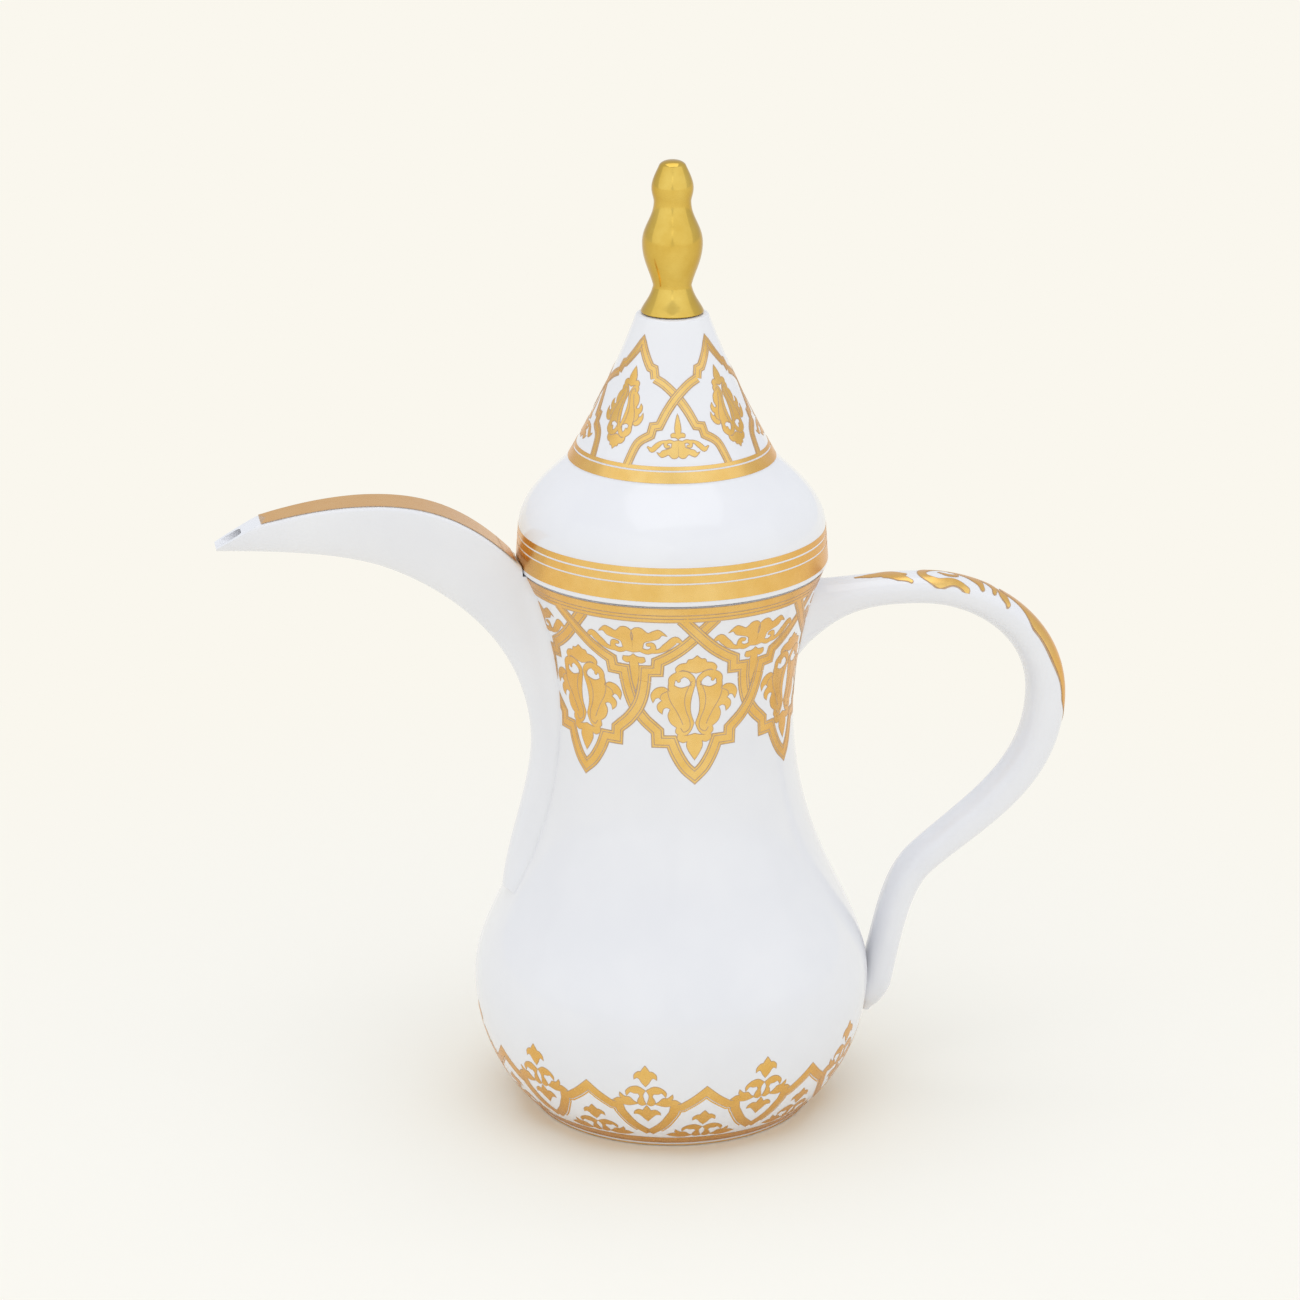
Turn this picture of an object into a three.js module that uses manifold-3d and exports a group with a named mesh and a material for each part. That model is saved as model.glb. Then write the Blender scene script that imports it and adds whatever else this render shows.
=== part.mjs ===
// Porcelain dallah: a waisted coffee pot with a long beak, a loop handle and a pointed lift-off lid
// that carries a turned brass finial.
// Millimetres, +Z up. The beak points along -X and the handle along +X. The origin lies on the
// table, under the middle of the whole pot from the beak's tip to the handle's back.
import * as THREE from 'three';
import { mergeVertices } from 'three/addons/utils/BufferGeometryUtils.js';
import Module from 'manifold-3d';

const wasm = await Module();
wasm.setup();

// Pot body
const footRadius = 44;
const footRingWidth = 6;
const footRecess = 2;
const floorThickness = 5;
const bellyRadius = 61.8;
const bellyHeight = 41;
const waistRadius = 37.5;
const waistHeight = 131;
const rimRadius = 46.8;
const rimHeight = 175.6;
const wall = 3.6;
const edgeRounding = 1;

// Lid
const lidOverhang = 0.8;
const lidBandHeight = 12;
const lidDomeHeight = 21;
const coneBaseRadius = 31.7;
const coneHeight = 44.7;
const coneTopRadius = 10.8;
const coneHollow = 2.2;
const lidWall = 3.8;
const coneTopThickness = 5;
const mouthWall = 5.6;
const skirtDepth = 7;
const skirtWall = 3;
const skirtClearance = 0.7;

// Finial and its fixing
const finialHeight = 46;
const finialBaseRadius = 9.5;
const finialWaistRadius = 5.8;
const finialBulbRadius = 9.1;
const finialNeckRadius = 5.6;
const finialTipRadius = 6.3;
const studRadius = 2;
const studIntoFinial = 15;
const studPastNut = 2.5;
const washerRadius = 5;
const washerThickness = 1;
const nutAcrossFlats = 7;
const nutThickness = 3.2;

// Beak
const spoutReach = 139;
const spoutTipRise = 13.6;
const spoutCrestRise = 24.2;
const spoutCrestReach = 95;
const spoutTipDepth = 5;
const spoutTipWidth = 8;
const spoutRootWidth = 16;
const spoutEdge = 1.6;
const spoutWall = 2.4;
const spoutTipWall = 1.5;
const spoutMouthLength = 12.5;
const keelFootHeight = 73;
const keelStandoff = 6;
const strainerHoleRadius = 1.8;
const strainerPitch = 6.5;
const strainerRows = 5;

// Handle
const handleReach = 125.2;
const handleDrop = 12.6;
const handleWidth = 14;
const handleThickness = 10;
const handleFootHeight = 23;
const handleGrip = 50;

// Joints between pieces
const gap = 0.3;
const lidToBeak = 0.8;
const boreClearance = 0.3;

const roundSegments = 48;
const smallSegments = 24;
const sideSteps = 9;

const axisX = (spoutReach - handleReach) / 2;

const glaze = { color: 0xe9eaee, roughness: 0.12, metalness: 0 };
const brass = { color: 0xcbaa51, roughness: 0.2, metalness: 1 };
const steel = { color: 0xb9bcc0, roughness: 0.35, metalness: 1 };

// ---- Shapes ----

function solidOf(geometry) {
  const bare = geometry.clone();
  bare.deleteAttribute('normal');
  bare.deleteAttribute('uv');
  const merged = mergeVertices(bare, 1e-4);
  const vertProperties = new Float32Array(merged.attributes.position.array);
  const triVerts = new Uint32Array(merged.index.array);
  return new wasm.Manifold(new wasm.Mesh({ numProp: 3, vertProperties, triVerts }));
}

function geometryOf(solid) {
  const mesh = solid.getMesh();
  const geometry = new THREE.BufferGeometry();
  geometry.setAttribute('position', new THREE.BufferAttribute(new Float32Array(mesh.vertProperties), 3));
  geometry.setIndex(new THREE.BufferAttribute(new Uint32Array(mesh.triVerts), 1));
  geometry.computeVertexNormals();
  return geometry;
}

// A turned solid. The outline is a list of [radius, height] that starts and ends on the axis, or
// closes on itself.
function turned(outline, segments = roundSegments) {
  const points = outline.map(([radius, height]) => new THREE.Vector2(radius, height));
  return new THREE.LatheGeometry(points, segments).rotateX(Math.PI / 2);
}

function rod(radius, bottom, top, segments = smallSegments) {
  return turned([[0, bottom], [radius, bottom], [radius, top], [0, top]], segments);
}

// A ring whose bore and outside are both round.
function ring(bore, radius, bottom, top, segments = smallSegments) {
  return turned([[bore, bottom], [radius, bottom], [radius, top], [bore, top], [bore, bottom]], segments);
}

// A solid skinned over rings that all have the same number of points, with flat ends.
function skinned(rings) {
  const count = rings[0].length;
  const positions = rings.flat().flatMap((point) => point.toArray());
  const index = [];
  for (let i = 0; i + 1 < rings.length; i += 1) {
    for (let k = 0; k < count; k += 1) {
      const next = (k + 1) % count;
      const a = i * count + k;
      const b = i * count + next;
      index.push(a, b, a + count, b, b + count, a + count);
    }
  }
  for (const [row, turn] of [[0, 1], [rings.length - 1, -1]]) {
    const centre = positions.length / 3;
    const middle = new THREE.Vector3();
    rings[row].forEach((point) => middle.addScaledVector(point, 1 / count));
    positions.push(...middle.toArray());
    for (let k = 0; k < count; k += 1) {
      const pair = [row * count + k, row * count + ((k + 1) % count)];
      index.push(centre, ...(turn > 0 ? pair.reverse() : pair));
    }
  }
  const geometry = new THREE.BufferGeometry();
  geometry.setAttribute('position', new THREE.Float32BufferAttribute(positions, 3));
  geometry.setIndex(index);
  return geometry;
}

function pointsOf(path, divisions) {
  return path.getPoints(divisions).map((point) => [point.x, point.y]);
}

function piece(name, geometry, look) {
  const mesh = new THREE.Mesh(geometry, new THREE.MeshStandardMaterial(look));
  mesh.name = name;
  return mesh;
}

// ---- Pot body ----

// The body's side from the floor to the rim, moved in by inset. The belly, the waist and the rim
// are joined by curves that stand upright at the belly and at the waist.
function bodySide(inset, floor) {
  const rise = bellyHeight - floor;
  const neck = rimHeight - waistHeight;
  const shoulder = waistHeight - bellyHeight;
  const flare = rimRadius - waistRadius;
  const side = new THREE.Path();
  side.moveTo(footRadius - inset, floor);
  side.bezierCurveTo(footRadius - inset + 0.6 * (bellyRadius - footRadius), floor + 0.22 * rise,
    bellyRadius - inset, floor + 0.6 * rise, bellyRadius - inset, bellyHeight);
  side.bezierCurveTo(bellyRadius - inset, bellyHeight + 0.245 * shoulder,
    waistRadius - inset, waistHeight - 0.555 * shoulder, waistRadius - inset, waistHeight);
  side.bezierCurveTo(waistRadius - inset, waistHeight + 0.4 * neck,
    waistRadius - inset + 0.63 * flare, rimHeight - 0.17 * neck, rimRadius - inset, rimHeight);
  return side;
}

const outerSide = pointsOf(bodySide(0, edgeRounding), sideSteps);

function bodyRadiusAt(height) {
  const i = outerSide.findIndex(([, z]) => z >= height);
  const [r0, z0] = outerSide[Math.max(i, 1) - 1];
  const [r1, z1] = outerSide[Math.max(i, 1)];
  return r0 + ((r1 - r0) * (height - z0)) / (z1 - z0);
}

const mouthRadius = rimRadius - mouthWall;

function bodyOutline() {
  const innerSide = pointsOf(bodySide(wall, footRecess + floorThickness), 7);
  const ringInner = footRadius - footRingWidth;
  const mouthBottom = rimHeight - skirtDepth - edgeRounding;
  const inside = innerSide.filter(([radius, z]) => z < mouthBottom
    && (z < waistHeight || radius < mouthRadius));
  return [
    [0, footRecess],
    [ringInner - edgeRounding, footRecess],
    [ringInner, 0],
    [footRadius - edgeRounding, 0],
    ...outerSide.filter(([, z]) => z < rimHeight - edgeRounding),
    [bodyRadiusAt(rimHeight - edgeRounding), rimHeight - edgeRounding],
    [rimRadius - edgeRounding, rimHeight],
    [mouthRadius + edgeRounding / 2, rimHeight],
    [mouthRadius, rimHeight - edgeRounding / 2],
    [mouthRadius, mouthBottom],
    ...inside.reverse(),
    [0, footRecess + floorThickness],
  ];
}

// The body's outside, moved out by the joint gap, that the beak and the handle are fitted to.
function bodyEnvelope() {
  const side = outerSide.map(([radius, z]) => [radius + gap, z]);
  return turned([[0, -gap], [footRadius + gap, -gap], ...side, [rimRadius + gap, rimHeight + gap],
    [0, rimHeight + gap]]);
}

// Small pouring holes through the neck behind the beak, in three columns.
function strainerHoles() {
  const holes = [];
  const middle = waistHeight + strainerPitch;
  for (const column of [-1, 0, 1]) {
    const stagger = column === 0 ? 0 : 0.5;
    for (let row = 0; row < strainerRows; row += 1) {
      const length = bellyRadius;
      const hole = new THREE.CylinderGeometry(strainerHoleRadius, strainerHoleRadius, length, 8);
      hole.rotateZ(Math.PI / 2);
      hole.translate(-length / 2 - waistRadius / 2, column * 0.62 * strainerPitch,
        middle + (row + stagger - strainerRows / 2) * strainerPitch);
      holes.push(solidOf(hole));
    }
  }
  return holes;
}

function potBody() {
  let body = solidOf(turned(bodyOutline()));
  for (const hole of strainerHoles()) body = body.subtract(hole);
  return geometryOf(body);
}

// ---- Lid ----

const lidRadius = rimRadius + lidOverhang;
const lidBottom = rimHeight + gap;
const coneBase = lidBottom + lidBandHeight + lidDomeHeight;
const coneTop = coneBase + coneHeight;
const ceiling = coneTop - coneTopThickness;
const skirtRadius = mouthRadius - skirtClearance;

// The lid's shell from its band over the dome and up the cone, moved in by inset.
function lidSide(inset, top) {
  const bandTop = lidBottom + lidBandHeight;
  const bandRadius = lidRadius - lidOverhang - inset;
  const base = coneBase - 0.4 * inset;
  const side = new THREE.Path();
  side.moveTo(lidRadius - inset, lidBottom + edgeRounding);
  side.lineTo(bandRadius, bandTop);
  side.bezierCurveTo(bandRadius - 0.5, bandTop + 0.43 * (base - bandTop),
    coneBaseRadius - inset + 0.35 * (bandRadius - coneBaseRadius), base - 0.27 * (base - bandTop),
    coneBaseRadius - inset, base);
  side.quadraticCurveTo((coneBaseRadius + coneTopRadius) / 2 - inset - coneHollow, (base + top) / 2,
    coneTopRadius - inset, top);
  return side;
}

function lidOutline() {
  const outside = pointsOf(lidSide(0, coneTop - edgeRounding), 8);
  const inside = pointsOf(lidSide(lidWall, coneTop), 6)
    .filter(([radius, z]) => z < ceiling - 1 && radius < skirtRadius - skirtWall);
  const boreRadius = studRadius + 2 * boreClearance;
  const innerTop = Math.max(inside[inside.length - 1][0] - 1, washerRadius + 1);
  return [
    [boreRadius, coneTop],
    [boreRadius, ceiling],
    [innerTop, ceiling],
    ...inside.reverse(),
    [skirtRadius - skirtWall, rimHeight - skirtDepth],
    [skirtRadius - edgeRounding, rimHeight - skirtDepth],
    [skirtRadius, rimHeight - skirtDepth + edgeRounding],
    [skirtRadius, lidBottom],
    [lidRadius - edgeRounding, lidBottom],
    ...outside,
    [coneTopRadius - edgeRounding, coneTop],
    [boreRadius, coneTop],
  ];
}

// ---- Finial and its fixing ----

const finialBottom = coneTop + gap;

// A flared foot, a bulb and an acorn tip, turned from one bar.
function finialOutline() {
  const at = (share) => finialBottom + share * finialHeight;
  const side = new THREE.Path();
  side.moveTo(finialBaseRadius, at(0));
  side.bezierCurveTo(finialBaseRadius - 0.6, at(0.05), finialWaistRadius + 0.6, at(0.1),
    finialWaistRadius, at(0.176));
  side.bezierCurveTo(finialWaistRadius + 0.8, at(0.26), finialBulbRadius, at(0.34),
    finialBulbRadius, at(0.455));
  side.bezierCurveTo(finialBulbRadius, at(0.57), finialNeckRadius, at(0.62),
    finialNeckRadius, at(0.73));
  side.bezierCurveTo(finialNeckRadius + 0.1, at(0.76), finialTipRadius, at(0.78),
    finialTipRadius, at(0.82));
  side.bezierCurveTo(finialTipRadius, at(0.87), 0.75 * finialTipRadius, at(0.93),
    0.62 * finialTipRadius, at(0.97));
  side.quadraticCurveTo(0.45 * finialTipRadius, at(1), 0, at(1));
  const bore = studRadius + boreClearance;
  return [
    [0, finialBottom + studIntoFinial + boreClearance],
    [bore, finialBottom + studIntoFinial + boreClearance],
    [bore, finialBottom],
    ...pointsOf(side, 5),
  ];
}

const washerTop = ceiling - gap;
const nutTop = washerTop - washerThickness - gap;
const nutBottom = nutTop - nutThickness;

function hexNut() {
  const corner = nutAcrossFlats / Math.sqrt(3);
  const hexagon = new THREE.Shape();
  for (let k = 0; k < 6; k += 1) {
    const angle = (k * Math.PI) / 3;
    hexagon[k ? 'lineTo' : 'moveTo'](corner * Math.cos(angle), corner * Math.sin(angle));
  }
  hexagon.closePath();
  hexagon.holes.push(new THREE.Path().absarc(0, 0, studRadius + boreClearance, 0, 2 * Math.PI, true));
  const nut = new THREE.ExtrudeGeometry(hexagon, {
    depth: nutThickness,
    bevelEnabled: false,
    curveSegments: 10,
  });
  return nut.translate(0, 0, nutBottom);
}

// ---- Beak ----

// The ridge and the keel are drawn in the pot's middle plane as [distance from the axis, height].
// Both start at the tip. The ridge dives into the neck under the lid; the keel stands off the neck
// and shoulder and ends on the belly.
function beakRidge() {
  const inside = (z) => bodyRadiusAt(z) - 2 * wall;
  const ridge = new THREE.Path();
  const crest = rimHeight + spoutCrestRise;
  const tip = rimHeight + spoutTipRise + spoutTipDepth / 2;
  const run = spoutReach - spoutCrestReach;
  ridge.moveTo(spoutReach, tip);
  ridge.bezierCurveTo(spoutReach - 0.3 * run, tip + 0.51 * (crest - tip),
    spoutCrestReach + 0.34 * run, crest, spoutCrestReach, crest);
  const dive = spoutCrestReach - rimRadius;
  ridge.bezierCurveTo(spoutCrestReach - 0.37 * dive, crest, rimRadius + 0.31 * dive, crest - 4.4,
    rimRadius - 2, rimHeight);
  ridge.bezierCurveTo(rimRadius - 7, rimHeight - 5, inside(waistHeight), waistHeight + 19,
    inside(waistHeight - 3), waistHeight - 3);
  ridge.bezierCurveTo(inside(waistHeight - 26), waistHeight - 26, inside(keelFootHeight + 11),
    keelFootHeight + 11, inside(keelFootHeight), keelFootHeight - 7);
  return ridge;
}

function beakKeel() {
  const off = (z, share) => bodyRadiusAt(z) + share * keelStandoff;
  const keel = new THREE.Path();
  const tip = rimHeight + spoutTipRise - spoutTipDepth / 2;
  const run = spoutReach - spoutCrestReach;
  const under = rimHeight + 4.6;
  keel.moveTo(spoutReach - 0.3, tip);
  keel.bezierCurveTo(spoutReach - 0.37 * run, tip - 1, spoutCrestReach + 0.23 * run, under + 4.3,
    spoutCrestReach - 3, under);
  const dive = spoutCrestReach - rimRadius;
  keel.bezierCurveTo(spoutCrestReach - 0.3 * dive, under - 3.8, rimRadius + 0.43 * dive, rimHeight - 7.6,
    rimRadius + 12.7, rimHeight - 16.6);
  const low = waistHeight - 11;
  keel.bezierCurveTo(rimRadius + 4.2, rimHeight - 25.6, off(low, 1), low + 16, off(low, 1), low);
  const fall = low - keelFootHeight;
  keel.bezierCurveTo(off(low, 1.1), low - 0.34 * fall, off(keelFootHeight + 0.32 * fall, 1.25),
    keelFootHeight + 0.32 * fall, off(keelFootHeight, 0.42), keelFootHeight);
  keel.lineTo(off(keelFootHeight - 7, -0.7), keelFootHeight - 7);
  return keel;
}

const stationsPerCurve = 6;

function beakStations() {
  const ridge = beakRidge().curves;
  const keel = beakKeel().curves;
  const stations = [];
  for (let c = 0; c < ridge.length; c += 1) {
    for (let i = c ? 1 : 0; i <= stationsPerCurve; i += 1) {
      const t = i / stationsPerCurve;
      stations.push([ridge[c].getPoint(t), keel[c].getPoint(t)]);
    }
  }
  return stations;
}

// Half the beak's width, from the tip along the ridge to the neck and then down to the keel's foot.
function beakHalfWidth(share) {
  const growing = THREE.MathUtils.smoothstep(share, -0.3, 0.5);
  const fading = THREE.MathUtils.smoothstep(share, 0.62, 1);
  const tip = spoutTipWidth / 2;
  const root = spoutRootWidth / 2;
  return THREE.MathUtils.lerp(tip - 1.3, root, growing) - 0.3 * root * fading;
}

// One section across the beak: a flat top with rounded edges over sides that close to a round keel.
function beakSection(ridge, keel, halfWidth, inset) {
  const depth = ridge.distanceTo(keel) - 2 * inset;
  const width = halfWidth - inset;
  const edge = Math.min(spoutEdge, 0.3 * depth, 0.5 * width);
  const side = [[width - edge, 0], [width - 0.3 * edge, 0.3 * edge]];
  for (let k = 0; k < sideSteps - 1; k += 1) {
    const angle = (k * Math.PI) / 2 / (sideSteps - 1);
    side.push([width * Math.cos(angle) ** 0.8, edge + (depth - edge) * Math.sin(angle)]);
  }
  const other = side.map(([across, down]) => [-across, down]).reverse();
  const down = keel.clone().sub(ridge).normalize();
  return [...other, ...side, [0, depth]].map(([across, along]) => {
    const reach = ridge.x + down.x * (along + inset);
    return new THREE.Vector3(-reach, -across, ridge.y + down.y * (along + inset));
  });
}

function beakBody(insetAt) {
  const stations = beakStations();
  const rings = stations.map(([ridge, keel], i) => {
    const share = i / (stations.length - 1);
    return beakSection(ridge, keel, beakHalfWidth(share), insetAt(share));
  });
  return solidOf(skinned(rings));
}

// Everything above the slanting mouth at the tip.
function mouthCut() {
  const beyond = 3;
  const rise = rimHeight + spoutTipRise;
  const lip = new THREE.Vector2(spoutReach - 0.4, rise - spoutTipDepth / 2 + spoutTipWall);
  const back = new THREE.Vector2(spoutReach - spoutMouthLength, rise + spoutTipDepth / 2 + 3.2);
  const run = back.clone().sub(lip).normalize().multiplyScalar(beyond);
  const cut = new THREE.Shape();
  cut.moveTo(lip.x - run.x, lip.y - run.y);
  cut.lineTo(back.x + run.x, back.y + run.y);
  cut.lineTo(back.x + run.x, rise + 4 * spoutTipDepth);
  cut.lineTo(lip.x - run.x, rise + 4 * spoutTipDepth);
  const depth = 3 * spoutTipWidth;
  const block = new THREE.ExtrudeGeometry(cut, { depth, bevelEnabled: false });
  block.rotateX(Math.PI / 2).translate(0, depth / 2, 0).rotateZ(Math.PI);
  return solidOf(block);
}

function beak() {
  const shell = beakBody(() => 0);
  const channel = beakBody((share) => THREE.MathUtils.lerp(spoutTipWall, spoutWall, Math.min(1, 3 * share)));
  const lidWay = rod(lidRadius + lidToBeak, rimHeight - lidToBeak, coneBase, roundSegments);
  const spout = shell.subtract(channel).subtract(mouthCut()).subtract(solidOf(bodyEnvelope()))
    .subtract(solidOf(lidWay));
  return geometryOf(spout);
}

// ---- Handle ----

// The handle's middle line: out of the neck, over and down to the hand's height, in again to the
// belly, where its foot lies against the side.
function handleLine() {
  const top = rimHeight - handleDrop;
  const back = handleReach - 0.6 * handleThickness;
  const gripHeight = rimHeight - handleGrip;
  const kneeHeight = gripHeight - 53;
  const kneeRadius = bodyRadiusAt(kneeHeight) + 29;
  const footRise = handleFootHeight + 10;
  const footX = bodyRadiusAt(footRise) + 0.52 * handleThickness;
  const line = new THREE.Path();
  line.moveTo(rimRadius - 14, top - 9);
  line.bezierCurveTo(rimRadius + 3, top - 0.6, rimRadius + 18, top + 0.6, rimRadius + 32, top - 0.3);
  line.bezierCurveTo(back - 21, top - 1.3, back, gripHeight + 22, back, gripHeight);
  line.bezierCurveTo(back, gripHeight - 28, kneeRadius + 16, kneeHeight + 14, kneeRadius, kneeHeight);
  line.bezierCurveTo(kneeRadius - 7, kneeHeight - 6.5, footX + 4, footRise + 22, footX, footRise);
  line.lineTo(bodyRadiusAt(handleFootHeight) + 0.36 * handleThickness, handleFootHeight);
  return line;
}

// The handle swells where it leaves the neck and along the grip, and thins to its foot.
function handleSize(share) {
  const root = Math.exp(-((share / 0.075) ** 2));
  const grip = Math.exp(-(((share - 0.52) / 0.22) ** 2));
  const foot = Math.sqrt(Math.max(0.15, 1 - Math.max(0, (share - 0.95) / 0.05) ** 2));
  const thickness = handleThickness * (0.92 + 1.2 * root + 0.3 * grip) * foot;
  const width = handleWidth * (0.94 + 0.5 * root + 0.04 * grip) * foot;
  return [thickness / 2, width / 2];
}

function handle() {
  const line = handleLine();
  const steps = 40;
  const sides = 16;
  const rings = [];
  for (let i = 0; i <= steps; i += 1) {
    const share = i / steps;
    const middle = line.getPointAt(share);
    const tangent = line.getTangentAt(share);
    const [halfThickness, halfWidth] = handleSize(share);
    const points = [];
    for (let k = 0; k < sides; k += 1) {
      const angle = (2 * Math.PI * k) / sides;
      const out = halfThickness * Math.cos(angle);
      points.push(new THREE.Vector3(middle.x - tangent.y * out, -halfWidth * Math.sin(angle),
        middle.y + tangent.x * out));
    }
    rings.push(points);
  }
  return geometryOf(solidOf(skinned(rings)).subtract(solidOf(bodyEnvelope())));
}

// ---- The pot ----

const dallah = new THREE.Group();
dallah.position.x = axisX;
dallah.add(piece('pot_body', potBody(), glaze));
dallah.add(piece('spout', beak(), glaze));
dallah.add(piece('handle', handle(), glaze));

const lid = new THREE.Group();
lid.add(piece('lid', turned(lidOutline()), glaze));
lid.add(piece('finial', turned(finialOutline(), 32), brass));
lid.add(piece('finial_stud', rod(studRadius, nutBottom - studPastNut, finialBottom + studIntoFinial), steel));
lid.add(piece('finial_washer', ring(studRadius + 2 * boreClearance, washerRadius,
  washerTop - washerThickness, washerTop), steel));
lid.add(piece('finial_nut', hexNut(), steel));
dallah.add(lid);

export default dallah;
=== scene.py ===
import math
import bmesh
import bpy
import numpy as np
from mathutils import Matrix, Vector
from mathutils.geometry import delaunay_2d_cdt


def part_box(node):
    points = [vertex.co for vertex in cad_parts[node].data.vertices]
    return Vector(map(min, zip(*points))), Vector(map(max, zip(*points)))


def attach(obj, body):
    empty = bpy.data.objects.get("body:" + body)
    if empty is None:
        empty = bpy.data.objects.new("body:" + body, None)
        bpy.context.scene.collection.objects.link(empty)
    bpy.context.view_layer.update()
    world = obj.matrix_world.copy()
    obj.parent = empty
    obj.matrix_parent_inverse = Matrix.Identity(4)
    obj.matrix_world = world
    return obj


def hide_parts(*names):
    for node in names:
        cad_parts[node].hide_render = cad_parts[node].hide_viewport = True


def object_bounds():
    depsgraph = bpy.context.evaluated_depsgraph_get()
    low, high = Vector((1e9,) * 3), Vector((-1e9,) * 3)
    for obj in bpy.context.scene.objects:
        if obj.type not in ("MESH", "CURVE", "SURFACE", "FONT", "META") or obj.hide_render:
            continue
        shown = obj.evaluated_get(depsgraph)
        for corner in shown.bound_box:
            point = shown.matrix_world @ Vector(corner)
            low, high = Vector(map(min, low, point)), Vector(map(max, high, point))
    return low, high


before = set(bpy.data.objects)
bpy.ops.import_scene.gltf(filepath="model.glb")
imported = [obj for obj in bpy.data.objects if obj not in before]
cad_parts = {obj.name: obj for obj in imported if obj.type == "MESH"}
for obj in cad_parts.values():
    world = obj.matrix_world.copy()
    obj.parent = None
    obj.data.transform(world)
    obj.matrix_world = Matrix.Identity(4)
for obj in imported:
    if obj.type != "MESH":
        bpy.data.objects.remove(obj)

mm = 0.001
cadLow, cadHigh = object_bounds()
potLow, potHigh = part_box("pot_body")
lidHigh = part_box("lid")[1]
axisX = (potLow.x + potHigh.x) / 2
print("frame loaded, pot axis at", round(axisX, 5))


# curves in a flat plane, in millimetres

def bezierAt(ends, t):
    while len(ends) > 1:
        ends = [tuple(p + (q - p) * t for p, q in zip(a, b)) for a, b in zip(ends, ends[1:])]
    return ends[0]


def traced(start, *spans, steps=28):
    # each span lists the points after the current one: 1 for a line, 2 or 3 for a curve
    points = [start]
    for span in spans:
        ends = [points[-1], *span]
        count = steps if len(ends) > 2 else 1
        points += [bezierAt(ends, i / count) for i in range(1, count + 1)]
    return points


def softened(corners, steps=6):
    # a corner given as (radius, height, rounding) becomes a small arc
    points = []
    for i, corner in enumerate(corners):
        here = Vector(corner[:2])
        if len(corner) < 3:
            points.append(tuple(here))
            continue
        before = Vector(corners[i - 1][:2])
        after = Vector(corners[(i + 1) % len(corners)][:2])
        start = here + (before - here).normalized() * min(corner[2], (before - here).length * 0.49)
        end = here + (after - here).normalized() * min(corner[2], (after - here).length * 0.49)
        points += [bezierAt([tuple(start), tuple(here), tuple(end)], k / steps) for k in range(steps + 1)]
    return points


def throughPoints(points, steps=9):
    # a smooth line through every point
    if len(points) < 3:
        ends = [tuple(points[0]), tuple(points[-1])]
        return [bezierAt(ends, i / steps) for i in range(steps + 1)]
    full = [points[0], *points, points[-1]]
    line = []
    for a, b, c, d in zip(full, full[1:], full[2:], full[3:]):
        for i in range(steps):
            t = i / steps
            line.append(tuple(
                0.5 * (2 * q + (r - p) * t + (2 * p - 5 * q + 4 * r - s) * t * t
                       + (3 * q - p - 3 * r + s) * t ** 3)
                for p, q, r, s in zip(a, b, c, d)))
    return [*line, tuple(points[-1])]


def lookup(points, height):
    for (r0, z0), (r1, z1) in zip(points, points[1:]):
        if z0 <= height <= z1 and z1 > z0:
            return r0 + (r1 - r0) * (height - z0) / (z1 - z0)
    return points[0][0] if height < points[0][1] else points[-1][0]


# meshes

def meshObject(name, vertices, faces):
    mesh = bpy.data.meshes.new(name)
    mesh.from_pydata(vertices, [], faces)
    mesh.validate()
    piece = bpy.data.objects.new(name, mesh)
    bpy.context.scene.collection.objects.link(piece)
    return piece


def outward(piece):
    work = bmesh.new()
    work.from_mesh(piece.data)
    bmesh.ops.remove_doubles(work, verts=work.verts, dist=1e-7)
    bmesh.ops.recalc_face_normals(work, faces=work.faces)
    if work.calc_volume(signed=True) < 0:
        bmesh.ops.reverse_faces(work, faces=work.faces)
    work.to_mesh(piece.data)
    work.free()


def smooth(piece, sharpAngle=50):
    piece.data.shade_smooth()
    piece.data.set_sharp_from_angle(angle=math.radians(sharpAngle))


def potPoint(across, along, height):
    # millimetres from the pot's axis on the table to metres in the frame
    return Vector((axisX + across * mm, along * mm, height * mm))


def turned(name, outline, segments=192):
    # the outline starts and ends on the axis, or closes on itself
    closed = outline[0] == outline[-1]
    rings = []
    vertices = []
    for radius, height in outline[:-1] if closed else outline:
        if radius < 1e-6:
            rings.append([len(vertices)] * segments)
            vertices.append(potPoint(0, 0, height))
            continue
        rings.append([len(vertices) + k for k in range(segments)])
        for k in range(segments):
            angle = 2 * math.pi * k / segments
            vertices.append(potPoint(radius * math.cos(angle), radius * math.sin(angle), height))
    faces = []
    for i in range(len(rings) if closed else len(rings) - 1):
        lower = rings[i]
        upper = rings[(i + 1) % len(rings)]
        for k in range(segments):
            n = (k + 1) % segments
            corners = [lower[k], lower[n], upper[n], upper[k]]
            corners = [c for j, c in enumerate(corners) if c not in corners[:j]]
            if len(corners) > 2:
                faces.append(corners)
    piece = meshObject(name, vertices, faces)
    outward(piece)
    return piece


def lofted(name, rings):
    count = len(rings[0])
    vertices = [point for one in rings for point in one]
    faces = []
    for i in range(len(rings) - 1):
        for k in range(count):
            n = (k + 1) % count
            faces.append([i * count + k, i * count + n, (i + 1) * count + n, (i + 1) * count + k])
    last = (len(rings) - 1) * count
    for start in (0, last):
        middle = sum((vertices[start + k] for k in range(count)), Vector()) / count
        vertices.append(middle)
        for k in range(count):
            faces.append([start + k, start + (k + 1) % count, len(vertices) - 1])
    piece = meshObject(name, vertices, faces)
    outward(piece)
    return piece


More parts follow.
